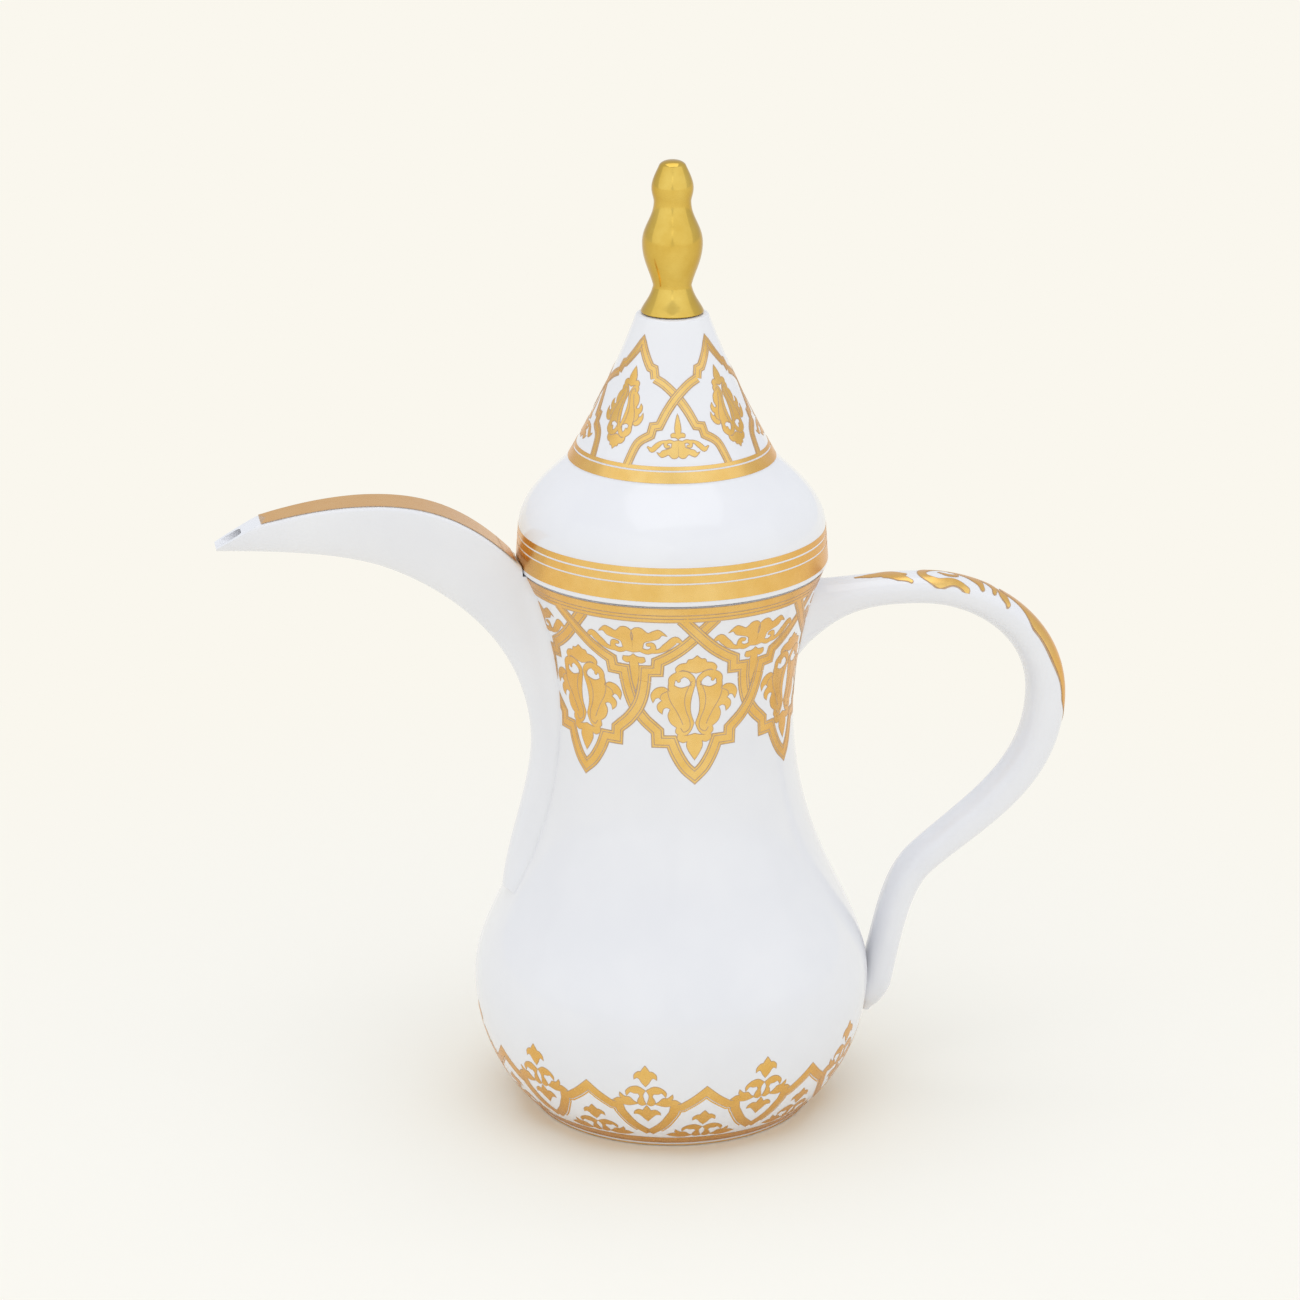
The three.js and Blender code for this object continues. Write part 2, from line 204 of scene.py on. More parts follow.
def cutBy(piece, *tools):
    for tool in tools:
        change = piece.modifiers.new("cut", "BOOLEAN")
        change.operation = "DIFFERENCE"
        change.solver = "EXACT"
        change.object = tool
    applied(piece)
    for tool in tools:
        bpy.data.objects.remove(tool)


def applied(piece):
    bpy.context.view_layer.update()
    shown = piece.evaluated_get(bpy.context.evaluated_depsgraph_get())
    mesh = bpy.data.meshes.new_from_object(shown)
    piece.modifiers.clear()
    piece.data = mesh


def finished(piece, material, body, slotName, *standsFor, sharpAngle=50):
    smooth(piece, sharpAngle)
    piece.data.materials.clear()
    piece.data.materials.append(material)
    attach(piece, body)
    if standsFor:
        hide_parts(*standsFor)


# effects that the materials share

def newGroup(name, inputs, outputs):
    group = bpy.data.node_groups.new(name, "ShaderNodeTree")
    for label, kind, value in inputs:
        socket = group.interface.new_socket(name=label, in_out="INPUT", socket_type=kind)
        if value is not None:
            socket.default_value = value
    for label, kind in outputs:
        group.interface.new_socket(name=label, in_out="OUTPUT", socket_type=kind)
    return group, group.nodes.new("NodeGroupInput"), group.nodes.new("NodeGroupOutput")


def makeClouding():
    # soft patches that change over the surface: two sizes of noise mapped between Low and High
    group, given, result = newGroup(
        "clouding",
        [("Vector", "NodeSocketVector", None), ("Size", "NodeSocketFloat", 60.0),
         ("Detail", "NodeSocketFloat", 4.0), ("Low", "NodeSocketFloat", 0.0),
         ("High", "NodeSocketFloat", 1.0)],
        [("Value", "NodeSocketFloat")])
    cloud = group.nodes.new("ShaderNodeTexNoise")
    cloud.inputs["Roughness"].default_value = 0.62
    spread = group.nodes.new("ShaderNodeMapRange")
    spread.inputs["From Min"].default_value = 0.3
    spread.inputs["From Max"].default_value = 0.7
    group.links.new(given.outputs["Vector"], cloud.inputs["Vector"])
    group.links.new(given.outputs["Size"], cloud.inputs["Scale"])
    group.links.new(given.outputs["Detail"], cloud.inputs["Detail"])
    group.links.new(cloud.outputs["Fac"], spread.inputs["Value"])
    group.links.new(given.outputs["Low"], spread.inputs["To Min"])
    group.links.new(given.outputs["High"], spread.inputs["To Max"])
    group.links.new(spread.outputs["Result"], result.inputs["Value"])
    return group


def makeTurning():
    # fine rings left by a lathe or a banding brush: noise squeezed along the axis
    group, given, result = newGroup(
        "turning",
        [("Vector", "NodeSocketVector", None), ("Pitch", "NodeSocketFloat", 3000.0),
         ("Unevenness", "NodeSocketFloat", 60.0)],
        [("Height", "NodeSocketFloat")])
    squeeze = group.nodes.new("ShaderNodeMapping")
    combine = group.nodes.new("ShaderNodeCombineXYZ")
    grooves = group.nodes.new("ShaderNodeTexNoise")
    grooves.inputs["Scale"].default_value = 1.0
    grooves.inputs["Detail"].default_value = 3.0
    group.links.new(given.outputs["Unevenness"], combine.inputs["X"])
    group.links.new(given.outputs["Unevenness"], combine.inputs["Y"])
    group.links.new(given.outputs["Pitch"], combine.inputs["Z"])
    group.links.new(given.outputs["Vector"], squeeze.inputs["Vector"])
    group.links.new(combine.outputs["Vector"], squeeze.inputs["Scale"])
    group.links.new(squeeze.outputs["Vector"], grooves.inputs["Vector"])
    group.links.new(grooves.outputs["Fac"], result.inputs["Height"])
    return group


def makeSpecks():
    # pinholes and dust: small round marks where a cell's centre is near
    group, given, result = newGroup(
        "specks",
        [("Vector", "NodeSocketVector", None), ("Spacing", "NodeSocketFloat", 90.0),
         ("Radius", "NodeSocketFloat", 0.05)],
        [("Mask", "NodeSocketFloat")])
    cells = group.nodes.new("ShaderNodeTexVoronoi")
    edge = group.nodes.new("ShaderNodeMapRange")
    edge.interpolation_type = "SMOOTHSTEP"
    edge.inputs["From Min"].default_value = 0.0
    edge.inputs["To Min"].default_value = 1.0
    edge.inputs["To Max"].default_value = 0.0
    group.links.new(given.outputs["Vector"], cells.inputs["Vector"])
    group.links.new(given.outputs["Spacing"], cells.inputs["Scale"])
    group.links.new(cells.outputs["Distance"], edge.inputs["Value"])
    group.links.new(given.outputs["Radius"], edge.inputs["From Max"])
    group.links.new(edge.outputs["Result"], result.inputs["Mask"])
    return group


clouding = makeClouding()
turning = makeTurning()
specks = makeSpecks()


def effect(tree, group, place, **values):
    node = tree.nodes.new("ShaderNodeGroup")
    node.node_tree = group
    tree.links.new(place, node.inputs["Vector"])
    for label, value in values.items():
        node.inputs[label].default_value = value
    return node.outputs[0]


def blendOf(tree, factor, look):
    # the main colour with patches of another
    mix = tree.nodes.new("ShaderNodeMix")
    mix.data_type = "RGBA"
    mix.inputs[6].default_value = (*look["main"], 1)
    mix.inputs[7].default_value = (*look["patches"], 1)
    tree.links.new(factor, mix.inputs[0])
    return mix.outputs[2]


def bumped(tree, shader, height, strength, distance, normal=None):
    bump = tree.nodes.new("ShaderNodeBump")
    bump.inputs["Strength"].default_value = strength
    bump.inputs["Distance"].default_value = distance
    tree.links.new(height, bump.inputs["Height"])
    if normal:
        tree.links.new(normal, bump.inputs["Normal"])
    tree.links.new(bump.outputs["Normal"], shader.inputs["Normal"])
    return bump.outputs["Normal"]


def startMaterial(name, **constants):
    material = bpy.data.materials.new(name)
    material.use_nodes = True
    tree = material.node_tree
    shader = tree.nodes["Principled BSDF"]
    for label, value in constants.items():
        shader.inputs[label].default_value = value
    place = tree.nodes.new("ShaderNodeTexCoord").outputs["Object"]
    return material, tree, shader, place


porcelainLook = {"main": (0.83, 0.835, 0.86), "patches": (0.79, 0.797, 0.83), "patchSize": 26.0,
                 "ripple": 0.05, "rippleDepth": 0.0004, "pinhole": 0.25, "pinholeDepth": 0.0001}


def makePorcelain():
    material, tree, shader, place = startMaterial("glazed_porcelain", **{
        "IOR": 1.52, "Coat Weight": 0.3, "Coat Roughness": 0.03})
    patches = effect(tree, clouding, place, Size=porcelainLook["patchSize"], Detail=3.0)
    tree.links.new(blendOf(tree, patches, porcelainLook), shader.inputs["Base Color"])
    tree.links.new(effect(tree, clouding, place, Size=48.0, Detail=5.0, Low=0.07, High=0.15),
                   shader.inputs["Roughness"])
    waves = effect(tree, clouding, place, Size=38.0, Detail=1.0)
    first = bumped(tree, shader, waves, porcelainLook["ripple"], porcelainLook["rippleDepth"])
    pinholes = effect(tree, specks, place, Spacing=55.0, Radius=0.02)
    dent = tree.nodes.new("ShaderNodeMath")
    dent.operation = "SUBTRACT"
    dent.inputs[0].default_value = 1.0
    tree.links.new(pinholes, dent.inputs[1])
    bumped(tree, shader, dent.outputs[0], porcelainLook["pinhole"], porcelainLook["pinholeDepth"], first)
    return material


bisqueLook = {"main": (0.72, 0.69, 0.64), "patches": (0.6, 0.57, 0.52), "grain": 0.4, "grainDepth": 0.0001}


def makeBisque():
    material, tree, shader, place = startMaterial("unglazed_foot", **{"IOR": 1.45})
    grain = effect(tree, clouding, place, Size=900.0, Detail=6.0)
    tree.links.new(blendOf(tree, grain, bisqueLook), shader.inputs["Base Color"])
    tree.links.new(effect(tree, clouding, place, Size=300.0, Low=0.7, High=0.9), shader.inputs["Roughness"])
    bumped(tree, shader, grain, bisqueLook["grain"], bisqueLook["grainDepth"])
    return material


def paintedSlantShade(tree, colour, look):
    # painted shade: the metal colour is mixed towards a darker colour where it is seen at a slant, standing
    # in for the darker floor and shadow it reflects there
    weight = tree.nodes.new("ShaderNodeLayerWeight")
    weight.inputs["Blend"].default_value = 0.5
    part = tree.nodes.new("ShaderNodeMath")
    part.operation = "MULTIPLY"
    part.inputs[1].default_value = look["slantShadeShare"]
    tree.links.new(weight.outputs["Facing"], part.inputs[0])
    mix = tree.nodes.new("ShaderNodeMix")
    mix.data_type = "RGBA"
    # the edge colour is the darker painted shade colour
    mix.inputs[7].default_value = (*look["edge"], 1)
    tree.links.new(part.outputs[0], mix.inputs[0])
    tree.links.new(colour, mix.inputs[6])
    return mix.outputs[2]


# the edge colour and its share are painted shade: the gold is mixed towards this darker colour where it is
# seen at a slant, standing in for the darker floor it reflects there
goldLook = {"main": (0.91, 0.64, 0.24), "patches": (0.83, 0.54, 0.16), "edge": (0.66, 0.27, 0.04),
            "slantShadeShare": 0.85, "strokes": 0.12, "strokeDepth": 0.00005}


def makeGold():
    material, tree, shader, place = startMaterial("fired_gold", **{"Metallic": 1.0})
    patches = effect(tree, clouding, place, Size=120.0, Detail=5.0)
    colour = blendOf(tree, patches, goldLook)
    tree.links.new(paintedSlantShade(tree, colour, goldLook), shader.inputs["Base Color"])
    tree.links.new(effect(tree, clouding, place, Size=700.0, Detail=4.0, Low=0.2, High=0.3),
                   shader.inputs["Roughness"])
    strokes = effect(tree, turning, place, Pitch=900.0, Unevenness=35.0)
    bumped(tree, shader, strokes, goldLook["strokes"], goldLook["strokeDepth"])
    return material


rimLook = {"main": (0.46, 0.3, 0.17), "patches": (0.56, 0.39, 0.24)}


def makeRim():
    # the matte bole line that the gold is laid over
    material, tree, shader, place = startMaterial("bole_outline", **{"IOR": 1.5})
    patches = effect(tree, clouding, place, Size=400.0, Detail=4.0)
    tree.links.new(blendOf(tree, patches, rimLook), shader.inputs["Base Color"])
    tree.links.new(effect(tree, clouding, place, Size=500.0, Low=0.4, High=0.6), shader.inputs["Roughness"])
    return material


# the edge colour and its share are painted shade: the brass is mixed fully towards this darker colour where
# it is seen at a slant, standing in for the darker floor it reflects there
brassLook = {"main": (0.84, 0.61, 0.15), "patches": (0.72, 0.48, 0.09), "edge": (0.42, 0.24, 0.02),
             "slantShadeShare": 1.0, "rings": 0.16, "ringDepth": 0.00008}


def makeBrass():
    material, tree, shader, place = startMaterial("turned_brass", **{"Metallic": 1.0})
    patches = effect(tree, clouding, place, Size=90.0, Detail=5.0)
    colour = blendOf(tree, patches, brassLook)
    tree.links.new(paintedSlantShade(tree, colour, brassLook), shader.inputs["Base Color"])
    rings = effect(tree, turning, place, Pitch=5200.0, Unevenness=40.0)
    tree.links.new(effect(tree, clouding, place, Size=260.0, Detail=6.0, Low=0.1, High=0.2),
                   shader.inputs["Roughness"])
    bumped(tree, shader, rings, brassLook["rings"], brassLook["ringDepth"])
    return material


steelLook = {"main": (0.56, 0.57, 0.59), "patches": (0.44, 0.45, 0.47), "rings": 0.3, "ringDepth": 0.0001}


def makeSteel():
    material, tree, shader, place = startMaterial("drawn_steel", **{"Metallic": 1.0})
    patches = effect(tree, clouding, place, Size=300.0, Detail=5.0)
    tree.links.new(blendOf(tree, patches, steelLook), shader.inputs["Base Color"])
    rings = effect(tree, turning, place, Pitch=4000.0, Unevenness=80.0)
    tree.links.new(effect(tree, clouding, place, Size=400.0, Low=0.25, High=0.45), shader.inputs["Roughness"])
    bumped(tree, shader, rings, steelLook["rings"], steelLook["ringDepth"])
    return material


porcelain = makePorcelain()
bisque = makeBisque()
gold = makeGold()
rim = makeRim()
brass = makeBrass()
steel = makeSteel()
print("materials made")


# the pot's body

pot = {"footRadius": 44, "footRing": 6, "footRecess": 2, "floor": 5, "bellyHeight": 41,
       "waistRadius": 37.5, "waistHeight": 131, "rimRadius": 46.8, "wall": 3.6, "mouthWall": 5.6,
       "skirtDepth": 7, "edge": 1,
       "bellyRadius": (potHigh.x - potLow.x) / 2 / mm, "rimHeight": potHigh.z / mm}
strainer = {"radius": 1.8, "pitch": 6.5, "rows": 5, "columnShare": 0.62, "from": 22, "to": 58, "sides": 16}


def bodySide(inset, floor):
    foot = pot["footRadius"] - inset
    belly = pot["bellyRadius"] - inset
    waist = pot["waistRadius"] - inset
    lip = pot["rimRadius"] - inset
    rise = pot["bellyHeight"] - floor
    shoulder = pot["waistHeight"] - pot["bellyHeight"]
    neck = pot["rimHeight"] - pot["waistHeight"]
    return traced(
        (foot, floor),
        [(foot + 0.6 * (belly - foot), floor + 0.22 * rise), (belly, floor + 0.6 * rise),
         (belly, pot["bellyHeight"])],
        [(belly, pot["bellyHeight"] + 0.245 * shoulder), (waist, pot["waistHeight"] - 0.555 * shoulder),
         (waist, pot["waistHeight"])],
        [(waist, pot["waistHeight"] + 0.4 * neck),
         (waist + 0.63 * (lip - waist), pot["rimHeight"] - 0.17 * neck), (lip, pot["rimHeight"])], steps=40)


outerSide = bodySide(0, pot["edge"])


def bodyRadius(height):
    return lookup(outerSide, height)


def makeBody():
    top = pot["rimHeight"]
    innerFloor = pot["footRecess"] + pot["floor"]
    ringInner = pot["footRadius"] - pot["footRing"]
    mouth = pot["rimRadius"] - pot["mouthWall"]
    seat = top - pot["skirtDepth"] - pot["edge"]
    inside = [p for p in bodySide(pot["wall"], innerFloor)
              if p[1] < seat and (p[1] < pot["waistHeight"] or p[0] < mouth)]
    outside = [p for p in outerSide if 1.2 < p[1] < top - 1.3]
    corners = [(0, pot["footRecess"]), (ringInner, pot["footRecess"], 1), (ringInner, 0, 0.8),
               (pot["footRadius"] - 0.3, 0, 0.9), *outside, (pot["rimRadius"], top, 1.1),
               (mouth, top, 0.9), (mouth, seat, 0.5), *reversed(inside), (0, innerFloor)]
    piece = turned("porcelain_body", softened(corners))
    holes = []
    for column in (-1, 0, 1):
        for row in range(strainer["rows"]):
            stagger = 0 if column == 0 else 0.5
            height = pot["waistHeight"] + strainer["pitch"] * (1 + row + stagger - strainer["rows"] / 2)
            middle = column * strainer["columnShare"] * strainer["pitch"]
            angles = [2 * math.pi * k / strainer["sides"] for k in range(strainer["sides"])]
            holes.append(lofted("hole", [
                [potPoint(-reach, middle + strainer["radius"] * math.cos(angle),
                          height + strainer["radius"] * math.sin(angle)) for angle in angles]
                for reach in (strainer["from"], strainer["to"])]))
    cutBy(piece, *holes)
    finished(piece, porcelain, "pot", "glaze", "pot_body", sharpAngle=60)
    piece.data.materials.append(bisque)
    for face in piece.data.polygons:
        if face.center.z < 0.00025 and face.normal.z < -0.5:
            face.material_index = 1
    return piece


makeBody()
print("body made")


# the lid

lid = {"overhang": 0.8, "band": 12, "dome": 21, "coneRadius": 31.7, "topRadius": 10.8, "hollow": 2.2,
       "wall": 3.8, "topThickness": 5, "skirt": 7, "skirtWall": 3, "skirtClearance": 0.7, "bore": 2.6,
       "gap": 0.3, "top": lidHigh.z / mm}
lidBottom = pot["rimHeight"] + lid["gap"]
bandTop = lidBottom + lid["band"]
coneBase = bandTop + lid["dome"]


def lidSide(inset, top):
    band = pot["rimRadius"] - inset
    base = coneBase - 0.4 * inset
    cone = lid["coneRadius"] - inset
    tip = lid["topRadius"] - inset
    spread = pot["rimRadius"] - lid["coneRadius"]
    rise = base - bandTop
    return traced(
        (band + lid["overhang"], lidBottom + 1),
        [(band, bandTop)],
        [(band - 0.5, bandTop + 0.43 * rise), (cone + 0.35 * spread, base - 0.27 * rise), (cone, base)],
        [((cone + tip) / 2 - lid["hollow"], (base + top) / 2), (tip, top)], steps=48)


lidOuter = lidSide(0, lid["top"])


def lidRadius(height):
    return lookup(lidOuter, height)


def makeLid():
    skirt = pot["rimRadius"] - pot["mouthWall"] - lid["skirtClearance"]
    ceiling = lid["top"] - lid["topThickness"]
    inside = [p for p in lidSide(lid["wall"], lid["top"])
              if p[1] < ceiling - 1 and p[0] < skirt - lid["skirtWall"]]
    outside = [p for p in lidOuter if lidBottom + 2.2 < p[1] < lid["top"] - 1.5]
    low = pot["rimHeight"] - lid["skirt"]
    corners = [(lid["bore"], lid["top"]), (lid["bore"], ceiling), (inside[-1][0] - 1, ceiling, 1),
               *reversed(inside), (skirt - lid["skirtWall"], low, 0.8), (skirt, low, 1),
               (skirt, lidBottom, 0.4), (pot["rimRadius"] + lid["overhang"], lidBottom, 1.1), *outside,
               (lid["topRadius"], lid["top"], 1.3)]
    outline = softened(corners)
    piece = turned("porcelain_lid", [*outline, outline[0]])
    finished(piece, porcelain, "lid", "glaze", "lid", sharpAngle=60)
    return piece


makeLid()
print("lid made")


# the finial

knobLow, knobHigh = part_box("finial")
knob = {"base": 9.5, "waist": 5.8, "bulb": 9.1, "neck": 5.6, "tip": 6.3, "bore": 2.3, "boreDepth": 15.3,
        "bottom": knobLow.z / mm, "height": (knobHigh.z - knobLow.z) / mm}


def makeFinial():
    def at(share):
        return knob["bottom"] + share * knob["height"]
    side = traced(
        (knob["base"] - 0.35, at(0)),
        [(knob["base"], at(0)), (knob["base"] - 0.05, at(0.008))],
        [(knob["base"] - 0.8, at(0.05)), (knob["waist"] + 0.6, at(0.1)), (knob["waist"], at(0.176))],
        [(knob["waist"] + 0.8, at(0.26)), (knob["bulb"], at(0.34)), (knob["bulb"], at(0.455))],
        [(knob["bulb"], at(0.57)), (knob["neck"], at(0.62)), (knob["neck"], at(0.73))],
        [(knob["neck"] + 0.1, at(0.76)), (knob["tip"], at(0.78)), (knob["tip"], at(0.82))],
        [(knob["tip"], at(0.87)), (0.75 * knob["tip"], at(0.93)), (0.62 * knob["tip"], at(0.97))],
        [(0.45 * knob["tip"], at(1)), (0, at(1))], steps=20)
    outline = [(0, knob["bottom"] + knob["boreDepth"]), (knob["bore"], knob["bottom"] + knob["boreDepth"]),
               (knob["bore"], knob["bottom"]), *side]
    piece = turned("turned_finial", outline, 128)
    finished(piece, brass, "lid", "polished_brass", "finial")
    return piece


makeFinial()
for nodeName in ("finial_stud", "finial_washer", "finial_nut"):
    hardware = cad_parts[nodeName]
    hardware.data.materials.clear()
    hardware.data.materials.append(steel)
print("finial made")


# the beak

beak = {"reach": 139, "tipRise": 13.6, "crestRise": 24.2, "crestReach": 95, "tipDepth": 5, "tipWidth": 8,
        "rootWidth": 16, "edge": 1.6, "wall": 2.4, "tipWall": 1.5, "mouth": 12.5, "keelFoot": 73,
        "standoff": 6, "rootWall": 1.8, "rootShare": 0.48, "sunk": 1.4, "fillet": 2.4, "filletReach": 5,
        "lidClearance": 0.35, "lidWayDip": 0.02}


def beakRidge(steps=24):
    def inside(height):
        return bodyRadius(height) - 2 * pot["wall"]
    rimH = pot["rimHeight"]
    rimR = pot["rimRadius"]
    waist = pot["waistHeight"]
    crest = rimH + beak["crestRise"]
    tip = rimH + beak["tipRise"] + beak["tipDepth"] / 2
    run = beak["reach"] - beak["crestReach"]
    dive = beak["crestReach"] - rimR
    foot = beak["keelFoot"]
    return traced(
        (beak["reach"], tip),
        [(beak["reach"] - 0.3 * run, tip + 0.51 * (crest - tip)), (beak["crestReach"] + 0.34 * run, crest),
         (beak["crestReach"], crest)],
        [(beak["crestReach"] - 0.37 * dive, crest), (rimR + 0.31 * dive, crest - 4.4), (rimR - 2, rimH)],
        [(rimR - 7, rimH - 5), (inside(waist), waist + 19), (inside(waist - 3), waist - 3)],
        [(inside(waist - 26), waist - 26), (inside(foot + 11), foot + 11), (inside(foot), foot - 7)],
        steps=steps)


def beakKeel(steps=24):
    def off(height, share):
        return bodyRadius(height) + share * beak["standoff"]
    rimH = pot["rimHeight"]
    rimR = pot["rimRadius"]
    tip = rimH + beak["tipRise"] - beak["tipDepth"] / 2
    run = beak["reach"] - beak["crestReach"]
    dive = beak["crestReach"] - rimR
    under = rimH + 4.6
    low = pot["waistHeight"] - 11
    foot = beak["keelFoot"]
    fall = low - foot
    return traced(
        (beak["reach"] - 0.3, tip),
        [(beak["reach"] - 0.37 * run, tip - 1), (beak["crestReach"] + 0.23 * run, under + 4.3),
         (beak["crestReach"] - 3, under)],
        [(beak["crestReach"] - 0.3 * dive, under - 3.8), (rimR + 0.43 * dive, rimH - 7.6),
         (rimR + 12.7, rimH - 16.6)],
        [(rimR + 4.2, rimH - 25.6), (off(low, 1), low + 16), (off(low, 1), low)],
        [(off(low, 1.1), low - 0.34 * fall), (off(foot + 0.32 * fall, 1.25), foot + 0.32 * fall),
         (off(foot, 0.42), foot)], steps=steps) + [(off(foot - 7, -0.7), foot - 7)]


def smoothStep(value, low, high):
    t = min(1, max(0, (value - low) / (high - low)))
    return t * t * (3 - 2 * t)


def beakHalfWidth(share):
    tip = beak["tipWidth"] / 2
    root = beak["rootWidth"] / 2
    growing = smoothStep(share, -0.3, 0.5)
    return tip - 1.3 + (root - tip + 1.3) * growing - 0.3 * root * smoothStep(share, 0.62, 1)


def beakRings(insetAt, steps=18):
    ridge = beakRidge()
    keel = beakKeel()[:len(ridge)]
    rings = []
    for i, (top, low) in enumerate(zip(ridge, keel)):
        share = i / (len(ridge) - 1)
        inset = insetAt(share)
        top = Vector(top)
        low = Vector(low)
        depth = (top - low).length - 2 * inset
        width = beakHalfWidth(share) - inset
        edge = min(beak["edge"], 0.3 * depth, 0.5 * width)
        side = [(width * k / 5, 0) for k in range(1, 4)]
        side += [bezierAt([(width - edge, 0), (width, 0), (width, edge)], k / 5) for k in range(5)]
        for k in range(steps):
            angle = k * math.pi / 2 / steps
            side.append((width * math.cos(angle) ** 0.8, edge + (depth - edge) * math.sin(angle)))
        section = [(-a, d) for a, d in reversed(side)] + [(0, 0)] + side + [(0, depth)]
        down = (low - top).normalized()
        rings.append([(-(top.x + down.x * (d + inset)), -a, top.y + down.y * (d + inset))
                      for a, d in section])
    return rings


def flared(rings, size, reach):
    # widens a stem where it meets the body, as slip smoothed round the joint does
    result = []
    for points in rings:
        middle = sum((Vector(p) for p in points), Vector()) / len(points)
        out = []
        for point in points:
            here = Vector(point)
            clear = math.hypot(here.x, here.y) - bodyRadius(here.z)
            near = max(0, 1 - max(0, clear) / reach)
            grow = size * near ** 2.2 * smoothStep(pot["rimHeight"] - here.z, -1, 8)
            away = Vector((0, here.y - middle.y, here.z - middle.z))
            if away.length > 1e-6:
                here += away.normalized() * grow
            out.append(potPoint(*here))
        result.append(out)
    return result


def bodyCore(sunk):
    side = [(radius - sunk, height) for radius, height in outerSide]
    top = pot["rimHeight"] + beak["lidWayDip"]
    return turned("core", [(0, -sunk), (side[0][0], -sunk), *side, (side[-1][0], top), (0, top)], 96)


def drum(radius, low, high):
    return turned("drum", [(0, low), (radius, low), (radius, high), (0, high)], 192)


def openMouth(piece):
    # slices off what lies above the slanting mouth at the beak's tip
    rise = pot["rimHeight"] + beak["tipRise"]
    lip = Vector((beak["reach"] - 0.4, rise - beak["tipDepth"] / 2 + beak["tipWall"]))
    back = Vector((beak["reach"] - beak["mouth"], rise + beak["tipDepth"] / 2 + 3.2))
    slope = (lip - back).normalized()
    work = bmesh.new()
    work.from_mesh(piece.data)
    bmesh.ops.bisect_plane(
        work, geom=[*work.verts, *work.edges, *work.faces], dist=1e-7, clear_outer=True,
        plane_co=potPoint(-lip.x, 0, lip.y), plane_no=Vector((slope.y, 0, slope.x)))
    rimEdges = [edge for edge in work.edges if edge.is_boundary]
    bmesh.ops.triangle_fill(work, edges=rimEdges, use_beauty=True)
    bmesh.ops.recalc_face_normals(work, faces=work.faces)
    work.to_mesh(piece.data)
    work.free()


def channelInset(share):
    # the wall is thicker at the root, where the lid's way cuts into the ridge
    root = beak["rootWall"] * math.exp(-(((share - beak["rootShare"]) / 0.06) ** 2))
    return beak["tipWall"] + (beak["wall"] - beak["tipWall"]) * min(1, 3 * share) + root


def makeBeak():
    shell = lofted("porcelain_beak", flared(beakRings(lambda share: 0), beak["fillet"], beak["filletReach"]))
    channelRings = beakRings(channelInset)
    channelRings.insert(0, [(x - 2, y, z - 0.1) for x, y, z in channelRings[0]])
    channel = lofted("channel", [[potPoint(*p) for p in ring] for ring in channelRings])
    lidWay = drum(pot["rimRadius"] + lid["overhang"] + beak["lidClearance"],
                  pot["rimHeight"] - beak["lidWayDip"], coneBase)
    cutBy(shell, bodyCore(beak["sunk"]), lidWay, channel)
    openMouth(shell)
    finished(shell, porcelain, "pot", "glaze", "spout", sharpAngle=40)
    return shell


makeBeak()
print("beak made")


# the handle

grip = {"reach": 125.2, "drop": 12.6, "width": 14, "thickness": 10, "footHeight": 23, "hand": 50,
        "kneeDrop": 53, "kneeReach": 29,
        "sunk": 1.4, "fillet": 1.8, "filletReach": 6, "steps": 150, "sides": 48, "squareness": 2.3}


def handleLine():
    rimH = pot["rimHeight"]
    rimR = pot["rimRadius"]
    top = rimH - grip["drop"]
    back = grip["reach"] - 0.6 * grip["thickness"]
    hand = rimH - grip["hand"]
    knee = hand - grip["kneeDrop"]
    kneeR = bodyRadius(knee) + grip["kneeReach"]
    foot = grip["footHeight"] + 10
    footX = bodyRadius(foot) + 0.52 * grip["thickness"]
    line = traced(
        (rimR - 14, top - 9),
        [(rimR + 3, top - 0.6), (rimR + 18, top + 0.6), (rimR + 32, top - 0.3)],
        [(back - 21, top - 1.3), (back, hand + 22), (back, hand)],
        [(back, hand - 28), (kneeR + 16, knee + 14), (kneeR, knee)],
        [(kneeR - 7, knee - 6.5), (footX + 4, foot + 22), (footX, foot)],
        [(bodyRadius(grip["footHeight"]) + 0.36 * grip["thickness"], grip["footHeight"])], steps=60)
    lengths = [0]
    for a, b in zip(line, line[1:]):
        lengths.append(lengths[-1] + math.dist(a, b))
    return line, lengths


gripLine, gripLengths = handleLine()


def handleAt(length):
    length = min(max(length, 0), gripLengths[-1])
    i = max(k for k, value in enumerate(gripLengths[:-1]) if value <= length)
    t = (length - gripLengths[i]) / (gripLengths[i + 1] - gripLengths[i])
    a, b = Vector(gripLine[i]), Vector(gripLine[i + 1])
    before = Vector(gripLine[max(i - 3, 0)])
    after = Vector(gripLine[min(i + 4, len(gripLine) - 1)])
    return a.lerp(b, t), (after - before).normalized()


def handleSize(share):
    root = math.exp(-((share / 0.075) ** 2))
    hold = math.exp(-(((share - 0.52) / 0.22) ** 2))
    foot = math.sqrt(max(0.15, 1 - max(0, (share - 0.95) / 0.05) ** 2))
    thickness = grip["thickness"] * (0.92 + 1.2 * root + 0.3 * hold) * foot
    width = grip["width"] * (0.94 + 0.5 * root + 0.04 * hold) * foot
    return thickness / 2, width / 2


def handlePoint(length, angle, lift=0):
    # angle 0 is the outer side, growing towards the front
    middle, along = handleAt(length)
    halfThickness, halfWidth = handleSize(length / gripLengths[-1])
    c, s = math.cos(angle), math.sin(angle)
    power = 2 / grip["squareness"]
    out = (halfThickness + lift) * math.copysign(abs(c) ** power, c)
    side = (halfWidth + lift) * math.copysign(abs(s) ** power, s)
    return (middle.x - along.y * out, -side, middle.y + along.x * out)


